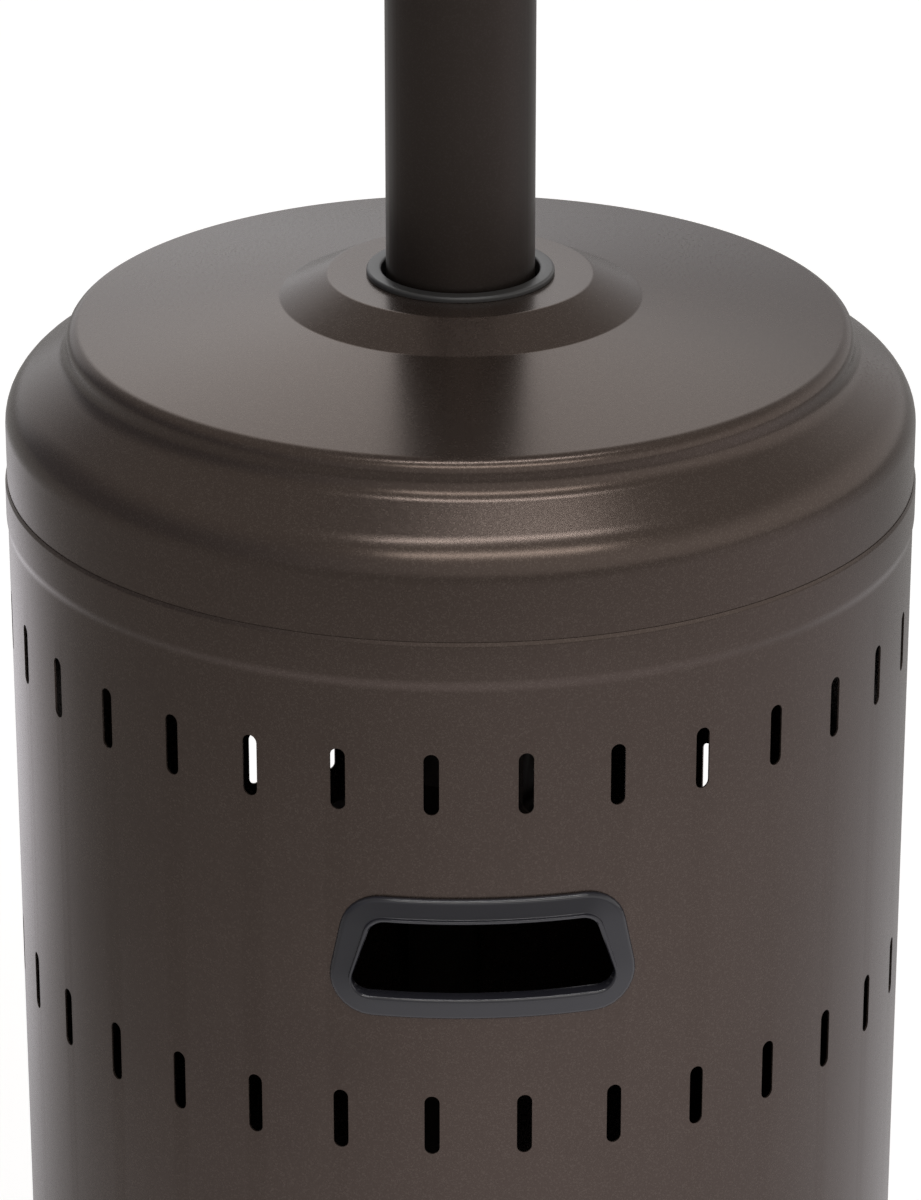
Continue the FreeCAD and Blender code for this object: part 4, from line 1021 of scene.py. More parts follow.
@dataclass
class Housing:
    """The lifting gas cylinder housing: wall, lid, grommet and two hand grips."""

    radius: float = 200.0 * MM
    sheet: float = 0.8 * MM
    flare_step: float = 0.7 * MM
    flare_height: float = 17.9 * MM
    joggle_height: float = 3.0 * MM
    joggle_round: float = 13.0 * MM
    rim_bevel: tuple[float, float] = (0.6 * MM, 1.6 * MM)
    bevel_round: float = 2.0 * MM
    edge_round: float = 0.3 * MM
    slot_count: int = 32
    slot_phase: float = 5.0
    slot_length: float = 27.6 * MM
    slot_width: float = 6.5 * MM
    slot_drops: tuple[float, float] = (64.0 * MM, 222.9 * MM)
    slot_cut: float = 16.0 * MM
    grip_drop: float = 143.6 * MM
    opening_height: float = 34.5 * MM
    opening_foot: float = 115.5 * MM
    opening_head: float = 93.0 * MM
    opening_round: float = 7.0 * MM
    opening_steps: int = 7
    grip_gap: float = 0.1 * MM
    grip_wall: float = 1.8 * MM
    grip_fit: float = 0.3 * MM
    sleeve_round: float = 0.4 * MM
    flange_width: float = 10.5 * MM
    flange: float = 2.6 * MM
    flange_round: float = 1.9 * MM
    lip: float = 1.8 * MM
    lip_rounds: tuple[float, float] = (1.4 * MM, 0.3 * MM)
    lip_foot_round: float = 0.35 * MM
    grip_depth: float = 2.5 * MM
    grip_facet: float = 4.0 * MM
    lid_overlap: float = 15.5 * MM
    shoulder: tuple[float, float] = (36.6 * MM, 21.8 * MM)
    cove: tuple[float, float, float] = (172.1 * MM, 55.0 * MM, 10.5 * MM)
    crown: tuple[float, float, float] = (172.1 * MM, 67.7 * MM, 6.4 * MM)
    boss_foot: tuple[float, float] = (79.0 * MM, 79.0 * MM)
    boss: tuple[float, float] = (58.0 * MM, 89.4 * MM)
    boss_round: float = 3.0 * MM
    grommet_wall: float = 3.0 * MM
    clip: float = 2.2 * MM
    rim_width: float = 6.6 * MM
    rim_round: float = 1.25 * MM

    def __post_init__(self) -> None:
        """Read the heights and the lid's fit from the frame."""
        self.foot = low("cylinder_housing").z
        self.rim = high("cylinder_housing").z
        self.skirt = high("housing_lid").x

    def wall(self) -> None:
        """Build the wall with its joggle, slots and grip windows."""
        joggle = self.rim - self.flare_height
        outer = self.radius
        flare = outer + self.flare_step
        inner = outer - self.sheet
        flare_inner = flare - self.sheet
        wall = Solid.turned(
            [
                (inner, self.foot, self.edge_round),
                (outer, self.foot, self.edge_round),
                (outer, joggle - self.joggle_height, self.joggle_round),
                (flare, joggle, self.joggle_round),
                (flare, self.rim - self.rim_bevel[1], self.bevel_round),
                (flare - self.rim_bevel[0], self.rim),
                (flare_inner, self.rim),
                (flare_inner, joggle, self.joggle_round),
                (inner, joggle - self.joggle_height, self.joggle_round),
            ],
            Smoothness.LARGE,
        ).object("housing_wall")
        carve(wall, *self.slot_cutters(), *self.window_cutters())
        finish(wall, Body.HOUSING, Slot.BRONZE, "cylinder_housing")

    def slot_cutters(self) -> list[Solid]:
        """Make the prisms that cut both rows of slots.

        Returns:
            One solid for each row.
        """
        end, half = self.slot_width / 2, self.slot_length / 2
        places = ((end, -half), (end, half), (-end, half), (-end, -half))
        outline = rounded([(x, y, end * NEARLY) for x, y in places], steps=6)
        rows = []
        for drop in self.slot_drops:
            place = facing(self.slot_phase, self.radius - self.slot_cut / 2, self.rim - drop)
            rows.append(Solid.block(outline, self.slot_cut).moved(place).ring(self.slot_count))
        return rows

    def opening(self) -> list[Corner]:
        """Return the corners of a grip's opening, wider at its foot."""
        foot, head, half = self.opening_foot / 2, self.opening_head / 2, self.opening_height / 2
        places = ((-foot, -half), (foot, -half), (head, half), (-head, half))
        return [(x, y, self.opening_round) for x, y in places]

    def window_cutters(self) -> list[Solid]:
        """Make the prisms that cut the windows for both grips.

        Returns:
            One solid for each window.
        """
        outline = rounded(grown(self.opening(), self.grip_wall + self.grip_fit))
        depth = self.radius / 3
        height = self.rim - self.grip_drop
        return [
            Solid.block(outline, depth).moved(facing(azimuth, self.radius - depth / 2, height))
            for azimuth in (0.0, 180.0)
        ]

    def lid(self) -> None:
        """Build the pressed lid as one sheet section."""
        rim, sheet = self.rim, self.sheet
        foot, inner = rim - self.lid_overlap, self.skirt - sheet
        hole = -low("post_grommet").x - self.rim_width + self.grommet_wall
        shoulder_height, shoulder_round = self.shoulder
        cove_radius, cove_height, cove_round = self.cove
        crown_radius, crown_height, crown_round = self.crown
        Solid.turned(
            [
                (hole, rim + self.boss[1]),
                (self.boss[0], rim + self.boss[1], self.boss_round),
                (self.boss_foot[0], rim + self.boss_foot[1], self.boss_round),
                (crown_radius, rim + crown_height, crown_round),
                (cove_radius, rim + cove_height, cove_round),
                (self.skirt, rim + shoulder_height, shoulder_round),
                (self.skirt, foot),
                (inner, foot),
                (inner, rim + shoulder_height - sheet / 2, shoulder_round - sheet),
                (cove_radius - sheet, rim + cove_height - sheet / 2, cove_round + sheet),
                (crown_radius - sheet, rim + crown_height - sheet, crown_round - sheet),
                (self.boss_foot[0], rim + self.boss_foot[1] - sheet, self.boss_round),
                (self.boss[0], rim + self.boss[1] - sheet, self.boss_round),
                (hole, rim + self.boss[1] - sheet),
            ],
            Smoothness.LARGE,
            steps=8,
        ).piece("lid_shell", Body.HOUSING, Slot.BRONZE, "housing_lid")

    def grommet(self) -> None:
        """Build the plastic ring round the post, with its rounded rim."""
        outer = high("post_grommet").x
        top = high("post_grommet").z
        foot = low("post_grommet").z
        bore = outer - self.rim_width
        seat = self.rim + self.boss[1]
        neck = bore + self.grommet_wall
        Solid.turned(
            [
                (bore, foot),
                (neck, foot),
                (neck + self.clip, seat - self.sheet, self.edge_round),
                (neck, seat - self.sheet),
                (neck, seat),
                (outer, seat, self.edge_round),
                (outer, top, self.rim_round),
                (bore, top, self.rim_round),
            ],
            steps=6,
        ).piece("grommet_ring", Body.HOUSING, Slot.BLACK, "post_grommet")

    def grip(self, name: str, node: str, turn: float) -> None:
        """Build one moulded grip as a sheet that follows the wall.

        Args:
            name: The piece's name.
            node: The CAD node that it stands for.
            turn: Degrees about the post from the front.
        """
        seat = self.radius + self.grip_gap
        back = self.radius - self.grip_depth - seat
        top = self.flange
        lip = top + self.lip
        edge = self.flange_width
        section = rounded(
            [
                (0.0, back, self.sleeve_round),
                (0.0, lip, self.lip_rounds[0]),
                (self.grip_wall, lip, self.lip_rounds[1]),
                (self.grip_wall, top, self.lip_foot_round),
                (edge, top, self.flange_round),
                (edge, 0.0, self.edge_round),
                (self.grip_wall, 0.0),
                (self.grip_wall, back, self.sleeve_round),
            ],
            steps=3,
        )
        mouth = rounded(self.opening(), steps=self.opening_steps)
        sides = zip(mouth, mouth[1:] + mouth[:1])
        counts = [max(1, round((end - start).length / self.grip_facet)) for start, end in sides]
        solid = Solid()
        loops = []
        for margin, level in section:
            outline = divided(rounded(grown(self.opening(), margin), self.opening_steps), counts)
            verts = [
                solid.bm.verts.new((x, -math.sqrt((seat + level) ** 2 - x * x), z)) for x, z in outline
            ]
            loops.append([solid.bm.edges.new(pair) for pair in zip(verts, verts[1:] + verts[:1])])
        for first, second in zip(loops, loops[1:] + loops[:1]):
            bmesh.ops.bridge_loops(solid.bm, edges=first + second)
        place = Matrix.Rotation(math.radians(turn), 4, "Z")
        place.translation.z = self.rim - self.grip_drop
        solid.tidied().moved(place).piece(name, Body.HOUSING, Slot.GRIP, node)

    def build(self) -> None:
        """Build the whole housing."""
        self.wall()
        self.lid()
        self.grommet()
        self.grip("front_grip", "hand_grip_front", 0.0)
        self.grip("rear_grip", "hand_grip_rear", 180.0)


@dataclass
class Base:
    """The base pan on its feet, with the wheels, their bracket and axle."""

    sheet: float = 2.0 * MM
    deck_radius: float = 196.0 * MM
    deck_draft: float = 1.5 * MM
    deck_round: float = 3.5 * MM
    crease_round: float = 0.5 * MM
    ledge_round: float = 7.0 * MM
    hem_width: float = 30.0 * MM
    bend_round: float = 2.5 * MM
    vent_radius: float = 27.0 * MM
    vent_circle: float = 68.0 * MM
    vent_count: int = 3
    bolt_hole: float = 4.3 * MM
    bolt_circle: float = 165.0 * MM
    wheel_tread: float = 11.0 * MM
    wheel_hub: float = 12.0 * MM
    wheel_bore: float = 5.08 * MM
    wheel_web: float = 3.5 * MM
    wheel_groove: float = 2.0 * MM
    shoulder: float = 3.0 * MM
    shoulder_round: float = 1.0 * MM
    hub_rounds: tuple[float, float] = (1.0 * MM, 1.5 * MM)
    rim_rounds: tuple[float, float] = (2.0 * MM, 0.8 * MM)
    spoke_count: int = 6
    window_spread: float = 19.0
    window_margin: float = 3.0 * MM
    window_rounds: tuple[float, float] = (2.5 * MM, 3.0 * MM)
    foot_bevel: float = 1.2 * MM
    cap_bevel: float = 0.8 * MM

    def pan(self) -> None:
        """Build the pressed pan with its vents and bolt holes."""
        outer = high("base_plate").x
        deck = high("base_plate").z
        hem = low("base_plate").z
        ledge = low("cylinder_housing").z
        sheet, step = self.sheet, self.deck_radius + self.deck_draft
        pan = Solid.turned(
            [
                (0.0, deck),
                (self.deck_radius, deck, self.deck_round),
                (step, ledge, self.crease_round),
                (outer, ledge, self.ledge_round),
                (outer, hem, self.bend_round),
                (outer - self.hem_width, hem),
                (outer - self.hem_width, hem + sheet),
                (outer - sheet, hem + sheet, self.crease_round),
                (outer - sheet, ledge - sheet, self.ledge_round - sheet),
                (step - sheet, ledge - sheet, self.bend_round),
                (self.deck_radius - sheet, deck - sheet, self.deck_round - sheet),
                (0.0, deck - sheet),
            ],
            Smoothness.LARGE,
        ).object("base_pan")
        drill = 8 * sheet
        start = deck - drill / 2
        vent = Solid.rod(self.vent_radius, drill, Smoothness.SMALL.value)
        vent.moved(Matrix.Translation((0, -self.vent_circle, start))).ring(self.vent_count)
        holes = []
        for node in ("post_bracket_right", "post_bracket_left", "post_bracket_rear"):
            lowest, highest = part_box(node)
            direction = Vector(((lowest.x + highest.x) / 2, (lowest.y + highest.y) / 2, 0)).normalized()
            spot = direction * self.bolt_circle
            place = Matrix.Translation((spot.x, spot.y, start))
            holes.append(Solid.rod(self.bolt_hole, drill).moved(place))
        carve(pan, vent, *holes)
        finish(pan, Body.STAND, Slot.FRAME, "base_plate")

    def wheel(self, name: str, node: str, body: Body) -> None:
        """Build one moulded wheel: grooved tread, web with spokes, and hub.

        Args:
            name: The piece's name.
            node: The CAD node that it stands for.
            body: The wheel's own body.
        """
        lowest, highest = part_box(node)
        centre = (lowest + highest) / 2
        half = (highest.x - lowest.x) / 2
        outer = (highest.z - lowest.z) / 2
        rim = outer - self.wheel_tread
        hub, bore, web = self.wheel_hub, self.wheel_bore, self.wheel_web
        groove, shoulder, around = self.wheel_groove, self.shoulder, self.shoulder_round
        hub_edge, hub_root = self.hub_rounds
        rim_root, rim_edge = self.rim_rounds
        tread = [(outer - shoulder, -half, around), (outer, -half + shoulder, around)]
        for level in (-groove * 2, groove):
            tread += [
                (outer, level),
                (outer - groove, level + groove / 3),
                (outer - groove, level + groove * 2 / 3),
                (outer, level + groove),
            ]
        tread += [(outer, half - shoulder, around), (outer - shoulder, half, around)]
        wheel = Solid.turned(
            [
                (bore, -half),
                (hub, -half, hub_edge),
                (hub, -web, hub_root),
                (rim, -web, rim_root),
                (rim, -half, rim_edge),
                *tread,
                (rim, half, rim_edge),
                (rim, web, rim_root),
                (hub, web, hub_root),
                (hub, half, hub_edge),
                (bore, half),
            ],
            steps=3,
        ).object(name)
        near, far = hub + self.window_margin, rim - self.window_margin
        spread = math.radians(self.window_spread)
        across, up = math.cos(spread), math.sin(spread)
        near_round, far_round = self.window_rounds
        window = [
            (near * across, -near * up, near_round),
            (far * across, -far * up, far_round),
            (far * across, far * up, far_round),
            (near * across, near * up, near_round),
        ]
        cutter = Solid.block(rounded(window), 4 * web).moved(Matrix.Translation((0, 0, -2 * web)))
        carve(wheel, cutter.ring(self.spoke_count))
        wheel.data.transform(Matrix.Translation(centre) @ Matrix.Rotation(math.radians(90), 4, "Y"))
        finish(wheel, body, Slot.WHEEL, node)

    def build(self) -> None:
        """Build the whole base."""
        self.pan()
        self.wheel("wheel_moulding_right", "wheel_right", Body.RIGHT_WHEEL)
        self.wheel("wheel_moulding_left", "wheel_left", Body.LEFT_WHEEL)
        feet = Solid.copy_of("base_feet").softened(self.foot_bevel)
        feet.piece("feet", Body.STAND, Slot.RUBBER, "base_feet")
        caps = Solid.copy_of("axle_caps").softened(self.cap_bevel)
        caps.piece("hub_caps", Body.STAND, Slot.BLACK, "axle_caps")


@dataclass
class Head:
    """The control housing with its knob and push button."""

    sheet: float = 1.2 * MM
    flare: float = 36.0 * MM
    flare_round: float = 24.0 * MM
    neck_round: float = 14.0 * MM
    foot_round: float = 0.4 * MM
    top_round: float = 1.2 * MM
    inner_round: float = 0.1 * MM
    lip: float = 10.0 * MM
    collar: float = 60.0 * MM
    post_gap: float = 0.2 * MM
    knob_hole: float = 6.3 * MM
    igniter_hole: float = 9.3 * MM
    igniter_angle: float = -35.0
    air_hole: float = 5.0 * MM
    air_hole_count: int = 8
    air_hole_rise: float = 104.0 * MM
    screw_hole: float = 2.8 * MM
    screw_count: int = 3
    screw_angle: float = 60.0
    screw_drop: float = 30.0 * MM
    knob_hollow: tuple[float, float] = (11.0 * MM, 5.0 * MM)
    knob_insets: tuple[float, float, float] = (0.6 * MM, 0.9 * MM, 4.5 * MM)
    knob_rounds: tuple[float, float, float] = (0.5 * MM, 0.8 * MM, 1.6 * MM)
    flute: float = 0.6 * MM
    flute_count: int = 28
    flute_sides: int = 8
    flute_inset: float = 0.75 * MM
    flute_ends: tuple[float, float] = (1.5 * MM, 5.0 * MM)
    bar_rise: float = 10.0 * MM
    bar_sunk: float = 2.0 * MM
    bar_width: float = 10.0 * MM
    bar_length: float = 40.0 * MM
    bar_corner: float = 3.0 * MM
    bar_bevel: float = 1.0 * MM
    bar_sharp: float = 60.0
    pointer_width: float = 1.4 * MM
    pointer_span: tuple[float, float] = (8.0 * MM, 18.0 * MM)
    pointer_thickness: float = 0.25 * MM
    pointer_sunk: float = 0.2 * MM
    button: float = 6.4 * MM
    button_seat: float = 98.5 * MM
    button_hidden: float = 14.0 * MM
    button_proud: float = 8.0 * MM
    button_rounds: tuple[float, float] = (1.4 * MM, 1.5 * MM)
    dish_rim: float = 2.6 * MM
    dish_depths: tuple[float, float] = (0.1 * MM, 0.9 * MM)

    def __post_init__(self) -> None:
        """Read the height of the knob's axis, which is also the button's."""
        self.height = (low("control_knob").z + high("control_knob").z) / 2

    def bell(self) -> None:
        """Build the spun bell with its holes."""
        outer = high("control_housing").x
        top = high("control_housing").z
        foot = low("control_housing").z
        post_top = foot + self.collar
        neck = high("post").x + self.post_gap
        sheet = self.sheet
        flare_foot = post_top + sheet
        flare_top = flare_foot + self.flare
        bell = Solid.turned(
            [
                (neck, foot),
                (neck + sheet, foot, self.foot_round),
                (neck + sheet, flare_foot - sheet, self.neck_round),
                (outer, flare_top, self.flare_round),
                (outer, top, self.top_round),
                (outer - self.lip, top),
                (outer - self.lip, top - sheet),
                (outer - sheet, top - sheet, self.inner_round),
                (outer - sheet, flare_top + sheet, self.flare_round - sheet),
                (neck, flare_foot, self.neck_round + sheet),
            ],
            Smoothness.LARGE,
            steps=8,
        ).object("control_bell")
        depth = 6 * sheet
        start = outer - depth / 2
        air_angle, air_height = 180 / self.air_hole_count, post_top + self.air_hole_rise
        screw = facing(self.screw_angle, neck - depth / 2, post_top - self.screw_drop)
        holes = [
            Solid.rod(self.knob_hole, depth).moved(facing(0.0, start, self.height)),
            Solid.rod(self.igniter_hole, depth).moved(facing(self.igniter_angle, start, self.height)),
            Solid.rod(self.air_hole, depth)
            .moved(facing(air_angle, start, air_height))
            .ring(self.air_hole_count),
            Solid.rod(self.screw_hole, depth).moved(screw).ring(self.screw_count),
        ]
        carve(bell, *holes)
        finish(bell, Body.STAND, Slot.BRONZE, "control_housing")

    def knob(self) -> None:
        """Build the fluted knob with a grip bar and a pointer line."""
        lowest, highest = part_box("control_knob")
        radius = (highest.x - lowest.x) / 2
        back, face = -highest.y, -lowest.y
        body_face = face - self.bar_rise
        hollow, hollow_depth = self.knob_hollow
        back_inset, side_inset, chamfer = self.knob_insets
        back_round, side_round, face_round = self.knob_rounds
        skirt = Solid.turned(
            [
                (0.0, back + hollow_depth),
                (hollow, back + hollow_depth),
                (hollow, back),
                (radius - back_inset, back, back_round),
                (radius - side_inset, body_face - chamfer, side_round),
                (radius - chamfer, body_face, face_round),
                (0.0, body_face),
            ],
            Smoothness.SMALL,
        )
        start, short = self.flute_ends
        flute = Solid.rod(self.flute, body_face - back - start - short, self.flute_sides)
        flute.moved(Matrix.Translation((radius - self.flute_inset, 0, back + start)))
        flute.ring(self.flute_count)
        half, length = self.bar_width / 2, self.bar_length / 2
        outline = rounded(oblong(half, -length, length, self.bar_corner))
        bar = Solid.block(outline, self.bar_rise + self.bar_sunk)
        bar.softened(self.bar_bevel, segments=3, above=self.bar_sharp)
        bar.moved(Matrix.Translation((0, 0, body_face - self.bar_sunk)))
        place = facing(0.0, 0.0, self.height)
        knob = skirt.with_more(flute, bar).moved(place)
        knob.piece("knob_moulding", Body.KNOB, Slot.BLACK, "control_knob")
        line = oblong(self.pointer_width / 2, *self.pointer_span)
        pointer = Solid.block(line, self.pointer_thickness)
        pointer.moved(place @ Matrix.Translation((0, 0, face - self.pointer_sunk)))
        pointer.piece("knob_pointer", Body.KNOB, Slot.CERAMIC)

    def igniter(self) -> None:
        """Build the igniter's button with a dished top."""
        foot, top = self.button_seat - self.button_hidden, self.button_seat + self.button_proud
        edge_round, rim_round = self.button_rounds
        rim_depth, dish_depth = self.dish_depths
        button = Solid.turned(
            [
                (0.0, foot),
                (self.button, foot),
                (self.button, top, edge_round),
                (self.button - self.dish_rim, top - rim_depth, rim_round),
                (0.0, top - dish_depth),
            ],
            Smoothness.SMALL,
        )
        button.moved(facing(self.igniter_angle, 0.0, self.height))
        button.piece("push_button", Body.BUTTON, Slot.RED, "igniter_button")

    def build(self) -> None:
        """Build the whole head."""
        self.bell()
        self.knob()
        self.igniter()


@dataclass
class Emitter:
    """The perforated screen and its cap."""

    sheet: float = 0.8 * MM
    band: float = 9.0 * MM
    band_round: float = 0.3 * MM
    hole_margin: float = 1.15 * MM
    columns: int = 80
    cap_sheet: float = 1.5 * MM
    cap_rounds: tuple[float, float, float] = (2.2 * MM, 0.5 * MM, 0.7 * MM)

    def screen(self) -> None:
        """Build the screen as a hexagon mesh rolled into a cylinder between two plain bands."""
        lowest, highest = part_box("emitter_screen")
        radius = highest.x
        step = FULL_TURN * radius / self.columns
        cell = step / math.sqrt(3)
        rise = cell * 1.5
        start, end = lowest.z + self.band, highest.z - self.band
        rows = round((end - start) / rise)
        solid = Solid()
        upright = Matrix.Rotation(math.radians(30), 4, "Z")
        bmesh.ops.create_circle(solid.bm, cap_ends=True, segments=6, radius=cell, matrix=upright)
        for count, shift in ((self.columns, (step, 0, 0)), (rows, (0, rise, 0))):
            unit = solid.everything()
            for index in range(1, count):
                verts = verts_in(bmesh.ops.duplicate(solid.bm, geom=unit)["geom"])
                half_step = step / 2 * (index % 2) if shift[1] else 0
                place = (shift[0] * index + half_step, shift[1] * index, 0)
                bmesh.ops.translate(solid.bm, vec=place, verts=verts)
        bmesh.ops.remove_doubles(solid.bm, verts=solid.bm.verts, dist=cell / 20)
        cells = solid.bm.faces[:]
        bmesh.ops.inset_individual(solid.bm, faces=cells, thickness=self.hole_margin)
        bmesh.ops.delete(solid.bm, geom=cells, context="FACES_ONLY")
        solid.tidied()
        made = bmesh.ops.extrude_face_region(solid.bm, geom=solid.bm.faces[:])["geom"]
        inner = set(verts_in(made))
        middle = (start + end - (rows - 1) * rise) / 2
        for vert in solid.bm.verts:
            angle = vert.co.x / radius
            reach = radius - self.sheet if vert in inner else radius
            vert.co = (reach * math.sin(angle), -reach * math.cos(angle), vert.co.y + middle)
        solid.tidied().piece("emitter_mesh", Body.STAND, Slot.EMITTER, "emitter_screen")
        hoop, around = radius - self.sheet, self.band_round
        for name, foot, top in (
            ("emitter_band_low", lowest.z, start + cell),
            ("emitter_band_high", end - cell, highest.z),
        ):
            corners = [(hoop, foot), (radius, foot), (radius, top, around), (hoop, top, around)]
            Solid.turned(corners).piece(name, Body.STAND, Slot.EMITTER)

    def cap(self) -> None:
        """Build the cap with its turned-down rim."""
        outer = high("emitter_cap").x
        top = high("emitter_cap").z
        foot = low("emitter_cap").z
        sheet = self.cap_sheet
        top_round, foot_round, inner_round = self.cap_rounds
        Solid.turned(
            [
                (0.0, top),
                (outer, top, top_round),
                (outer, foot, foot_round),
                (outer - sheet, foot, foot_round),
                (outer - sheet, top - sheet, inner_round),
                (0.0, top - sheet),
            ],
        ).piece("cap_shell", Body.STAND, Slot.EMITTER, "emitter_cap")

    def build(self) -> None:
        """Build the emitter."""
        self.screen()
        self.cap()


@dataclass
class Reflector:
    """The spun dome and its rolled rim."""

    sheet: float = 1.0 * MM
    flat: float = 78.0 * MM
    step: tuple[float, float] = (12.0 * MM, 10.0 * MM)
    step_round: float = 5.0 * MM
    middle: tuple[float, float] = (250.0 * MM, 36.0 * MM)
    outer: tuple[float, float] = (350.0 * MM, 66.0 * MM)
    bow: float = 260.0 * MM
    drop: float = 96.0 * MM
    drop_round: float = 3.5 * MM
    bead: tuple[float, float] = (8.0 * MM, 6.8 * MM)
    bead_wall: float = 1.5 * MM
    bead_round: float = 3.4 * MM
    bead_edges: tuple[float, float, float] = (1.0 * MM, 0.5 * MM, 0.6 * MM)
    stud_count: int = 3
    stud_circle: float = 60.0 * MM
    stud_hole: float = 3.5 * MM

    def dome(self) -> None:
        """Build the dome as one sheet section."""
        radius = high("reflector").x
        top = high("reflector").z
        foot = low("reflector").z
        sheet = self.sheet
        line = [
            (self.flat, top, self.step_round),
            (self.flat + self.step[0], top - self.step[1], self.step_round),
            (self.middle[0], top - self.middle[1], self.bow),
            (self.outer[0], top - self.outer[1], self.bow),
            (radius, top - self.drop, self.drop_round),
        ]
        under = [(r - sheet / 3, z - sheet, *rest) for r, z, *rest in line[:-1]]
        bead_inner, bead_top = radius - self.bead[0], foot + self.bead[1]
        top_round, wall_round, inner_round = self.bead_edges
        corners = [
            (0.0, top),
            *line,
            (radius, foot, self.bead_round),
            (bead_inner, foot, self.bead_round),
            (bead_inner, bead_top, top_round),
            (bead_inner + self.bead_wall, bead_top, wall_round),
            (radius - sheet, top - self.drop - sheet / 2, inner_round),
            *reversed(under),
            (0.0, top - sheet),
        ]
        dome = Solid.turned(corners, Smoothness.LARGE, steps=7).object("reflector_dome")
        drill = 6 * sheet
        hole = Solid.rod(self.stud_hole, drill)
        hole.moved(Matrix.Translation((0, -self.stud_circle, top - drill / 2))).ring(self.stud_count)
        carve(dome, hole)
        finish(dome, Body.STAND, Slot.REFLECTOR, "reflector")

    def build(self) -> None:
        """Build the reflector."""
        self.dome()


@dataclass(frozen=True)
class SoftBox:
    """A soft lamp, placed by its direction from the middle of the lid."""

    azimuth: float
    elevation: float
    distance: float
    width: float
    height: float
    power: float
    colour: Colour = (1.0, 1.0, 1.0)


@dataclass(frozen=True)
class Pool:
    """A painted pool of light on the floor: it glows only in reflections, where the paint mirrors it.
    """

    place: tuple[float, float, float]
    reach: float
    level: float


@dataclass(frozen=True)
class Glow:
    """A soft bright patch of the sky, placed by degrees from the front, -Y, towards +X, and upwards."""

    azimuth: float
    elevation: float
    reach: float
    level: float


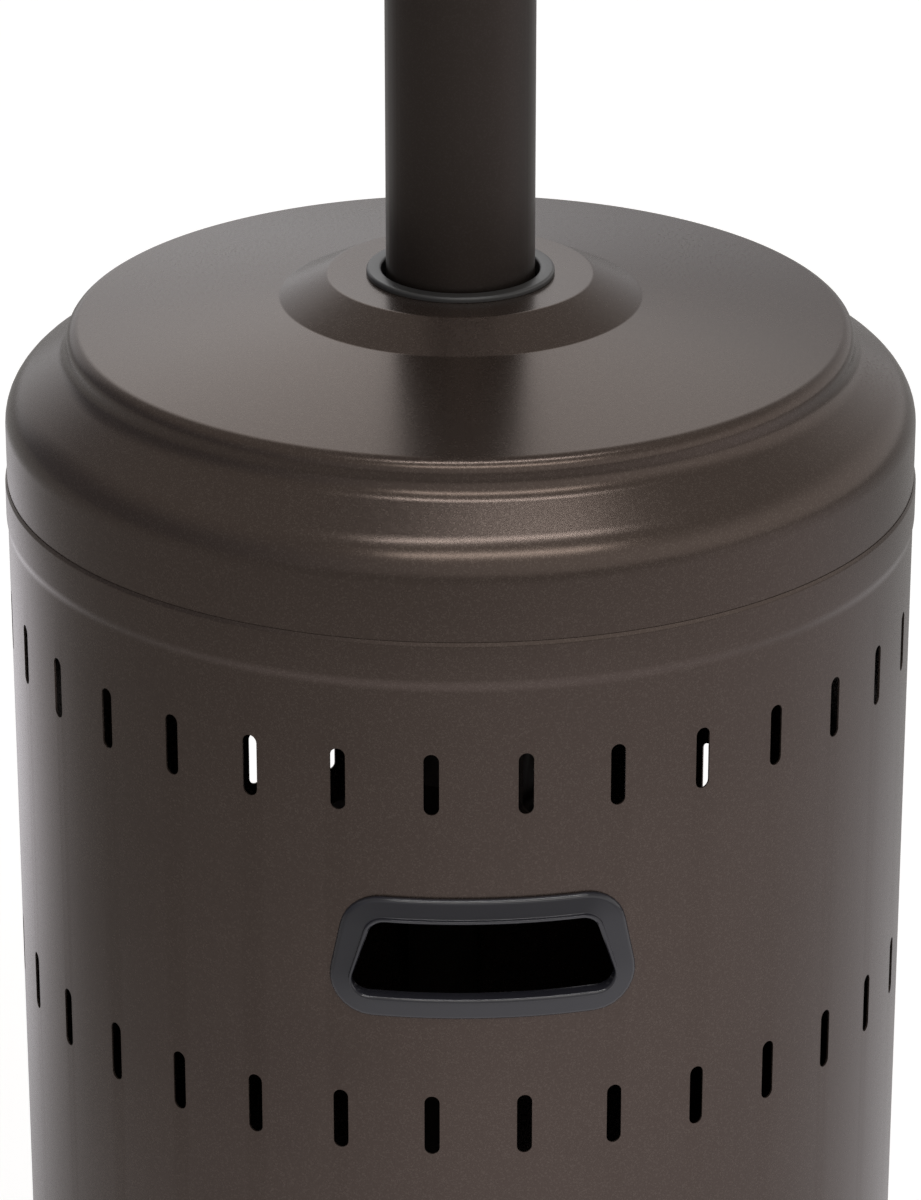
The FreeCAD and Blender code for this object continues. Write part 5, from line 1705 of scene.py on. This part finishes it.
@dataclass
class Studio:
    """Camera, floor, background and lamps."""

    camera_distance: float = 2.1456
    camera_azimuth: float = -2.8
    camera_height: float = 1.5497
    camera_pitch: float = 23.02
    lens: float = 156.45
    film: float = 36.0
    clip: float = 100.0
    floor_size: float = 60.0
    floor_level: float = 0.55
    floor_roughness: float = 0.9
    glow: float = 0.65
    # The colour of the painted pools of light on the floor.
    pool_light_tint: Colour = (1.0, 0.97, 1.05)
    # Painted pools of light on the floor, seen only in reflections.
    pools: tuple[Pool, ...] = (
        Pool((0.05, -0.5, 0.0), 1.6, 0.58),
        Pool((-0.75, 1.25, 0.0), 1.1, 0.85),
        Pool((1.7, -0.1, 0.0), 1.4, 0.42),
        Pool((1.0, 0.6, 0.0), 1.0, 0.25),
        Pool((4.5, -1.0, 0.0), 4.0, 0.55),
        Pool((0.8, -1.2, 0.0), 1.7, 0.36),
    )
    sky_edge: tuple[float, float] = (0.30, 0.75)
    bright_side: tuple[float, float, float] = (0.906, -0.42, 0.0)
    bright_sky: Colour = (1.08, 1.05, 1.03)
    dim_sky: Colour = (0.20, 0.20, 0.22)
    zenith: Colour = (0.45, 0.43, 0.41)
    glows: tuple[Glow, ...] = (
        Glow(198.0, 12.0, 30.0, 0.64),
        Glow(180.0, 37.0, 24.0, 1.20),
    )
    lamps: tuple[SoftBox, ...] = (
        SoftBox(15.0, 75.0, 3.0, 2.0, 0.2, 23.0),
        SoftBox(8.0, 42.0, 3.4, 2.8, 0.45, 29.0, (1.0, 0.97, 0.93)),
    )

    def camera(self) -> None:
        """Set the camera where the photograph was taken from."""
        data = bpy.data.cameras.new("camera")
        data.sensor_fit = "AUTO"
        data.sensor_width = self.film
        data.lens = self.lens
        data.clip_end = self.clip
        camera = bpy.data.objects.new("camera", data)
        bpy.context.scene.collection.objects.link(camera)
        around = math.radians(self.camera_azimuth)
        camera.location = (
            self.camera_distance * math.sin(around),
            -self.camera_distance * math.cos(around),
            self.camera_height,
        )
        camera.rotation_euler = (math.radians(90 - self.camera_pitch), 0.0, around)
        bpy.context.scene.camera = camera

    def floor(self) -> None:
        """Lay a pale floor that shows as the white background, keeps the shadow, and glows with painted
        pools of light that only reflections see.
        """
        solid = Solid()
        bmesh.ops.create_grid(solid.bm, x_segments=1, y_segments=1, size=self.floor_size / 2)
        floor = solid.object("studio_floor")
        shader = Shader("studio_floor")
        level = self.floor_level
        shader.set(Base_Color=(level, level, level, 1.0), Roughness=self.floor_roughness)
        path = shader.node("ShaderNodeLightPath").outputs
        shown = Field(shader, path["Is Camera Ray"]) + Field(shader, path["Is Transmission Ray"])
        # Painted light: pools that glow on the floor only for glossy rays, so the paint mirrors them.
        painted_pool_light = sum(
            shader.ramp(shader.distance(pool.place), 0.0, pool.reach, pool.level, 0.0)
            for pool in self.pools
        )
        pale = shader.mix(Field(shader, path["Is Glossy Ray"]) * painted_pool_light, BLACK, self.pool_light_tint)
        white = shaded(WHITE, self.glow)
        shader.set(Emission_Color=shader.mix(shown, pale, white), Emission_Strength=1.0)
        floor.data.materials.append(shader.material)

    def background(self) -> None:
        """Make the sky white to the camera and, to all else, bright on one side and dark overhead."""
        world = bpy.data.worlds.new("studio")
        world.use_nodes = True
        bpy.context.scene.world = world
        nodes = Nodes(world.node_tree)
        place = nodes.node("ShaderNodeTexCoord").outputs["Generated"]
        rise = nodes.ramp(nodes.field("ShaderNodeSeparateXYZ", {0: place}, "Z"), *self.sky_edge)
        side = nodes.ramp(nodes.along(place, self.bright_side), -1.0, 1.0)
        sky = nodes.mix(rise, nodes.mix(side, self.dim_sky, self.bright_sky), self.zenith)
        for glow in self.glows:
            near = nodes.along(place, heading(glow.azimuth, glow.elevation))
            share = nodes.ramp(near, math.cos(math.radians(glow.reach)), 1.0)
            sky = nodes.mix(share, sky, shaded(WHITE, glow.level), "ADD")
        path = nodes.node("ShaderNodeLightPath").outputs
        shown = nodes.mix(path["Is Camera Ray"], sky, WHITE)
        nodes.feed(world.node_tree.nodes["Background"].inputs["Color"], shown)

    def lights(self) -> None:
        """Hang the lamps round the lid."""
        aim = Vector((0.0, 0.0, high("housing_lid").z))
        for index, lamp in enumerate(self.lamps):
            data = bpy.data.lights.new(f"soft_box_{index}", "AREA")
            data.shape = "RECTANGLE"
            data.size, data.size_y = lamp.width, lamp.height
            data.energy = lamp.power
            data.color = lamp.colour
            light = bpy.data.objects.new(f"soft_box_{index}", data)
            out = heading(lamp.azimuth, lamp.elevation)
            light.location = aim + out * lamp.distance
            light.rotation_euler = out.to_track_quat("Z", "Y").to_euler()
            bpy.context.scene.collection.objects.link(light)

    def build(self) -> None:
        """Set up the whole studio."""
        self.camera()
        self.floor()
        self.background()
        self.lights()
        bpy.context.scene.view_settings.view_transform = "Standard"


EDGES: dict[str, float] = {
    "post_bracket_right": 0.4 * MM,
    "post_bracket_left": 0.4 * MM,
    "post_bracket_rear": 0.4 * MM,
    "wheel_bracket": 0.4 * MM,
    "bracket_bolts": 0.5 * MM,
    "bracket_nuts": 0.4 * MM,
    "wheel_bolts": 0.5 * MM,
    "post_bolts": 0.5 * MM,
    "collar_screws": 0.5 * MM,
    "piezo_igniter": 0.5 * MM,
    "reflector_studs": 0.3 * MM,
    "wing_nuts": 0.4 * MM,
}


def dress_plain_nodes() -> None:
    """Round the edges of the fastenings, and give every node that still shows its finish."""
    slots = {entry["node"]: Slot(entry["material_slot"]) for entry in frame["record"]["subparts"]}
    for node, width in EDGES.items():
        solid = Solid.copy_of(node).softened(width)
        solid.piece(f"{node}_rounded", Body(frame["nodes"][node]["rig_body"]), slots[node], node)
    for node, made in frame["nodes"].items():
        if not made.hide_render:
            paint.coat(made, slots[node])


def main() -> None:
    """Build the heater and its studio."""
    logging.basicConfig(level=logging.INFO, format="%(name)s: %(message)s")
    for assembly in (Housing(), Base(), Head(), Emitter(), Reflector()):
        assembly.build()
    dress_plain_nodes()
    Studio().build()


if __name__ == "__main__":
    main()
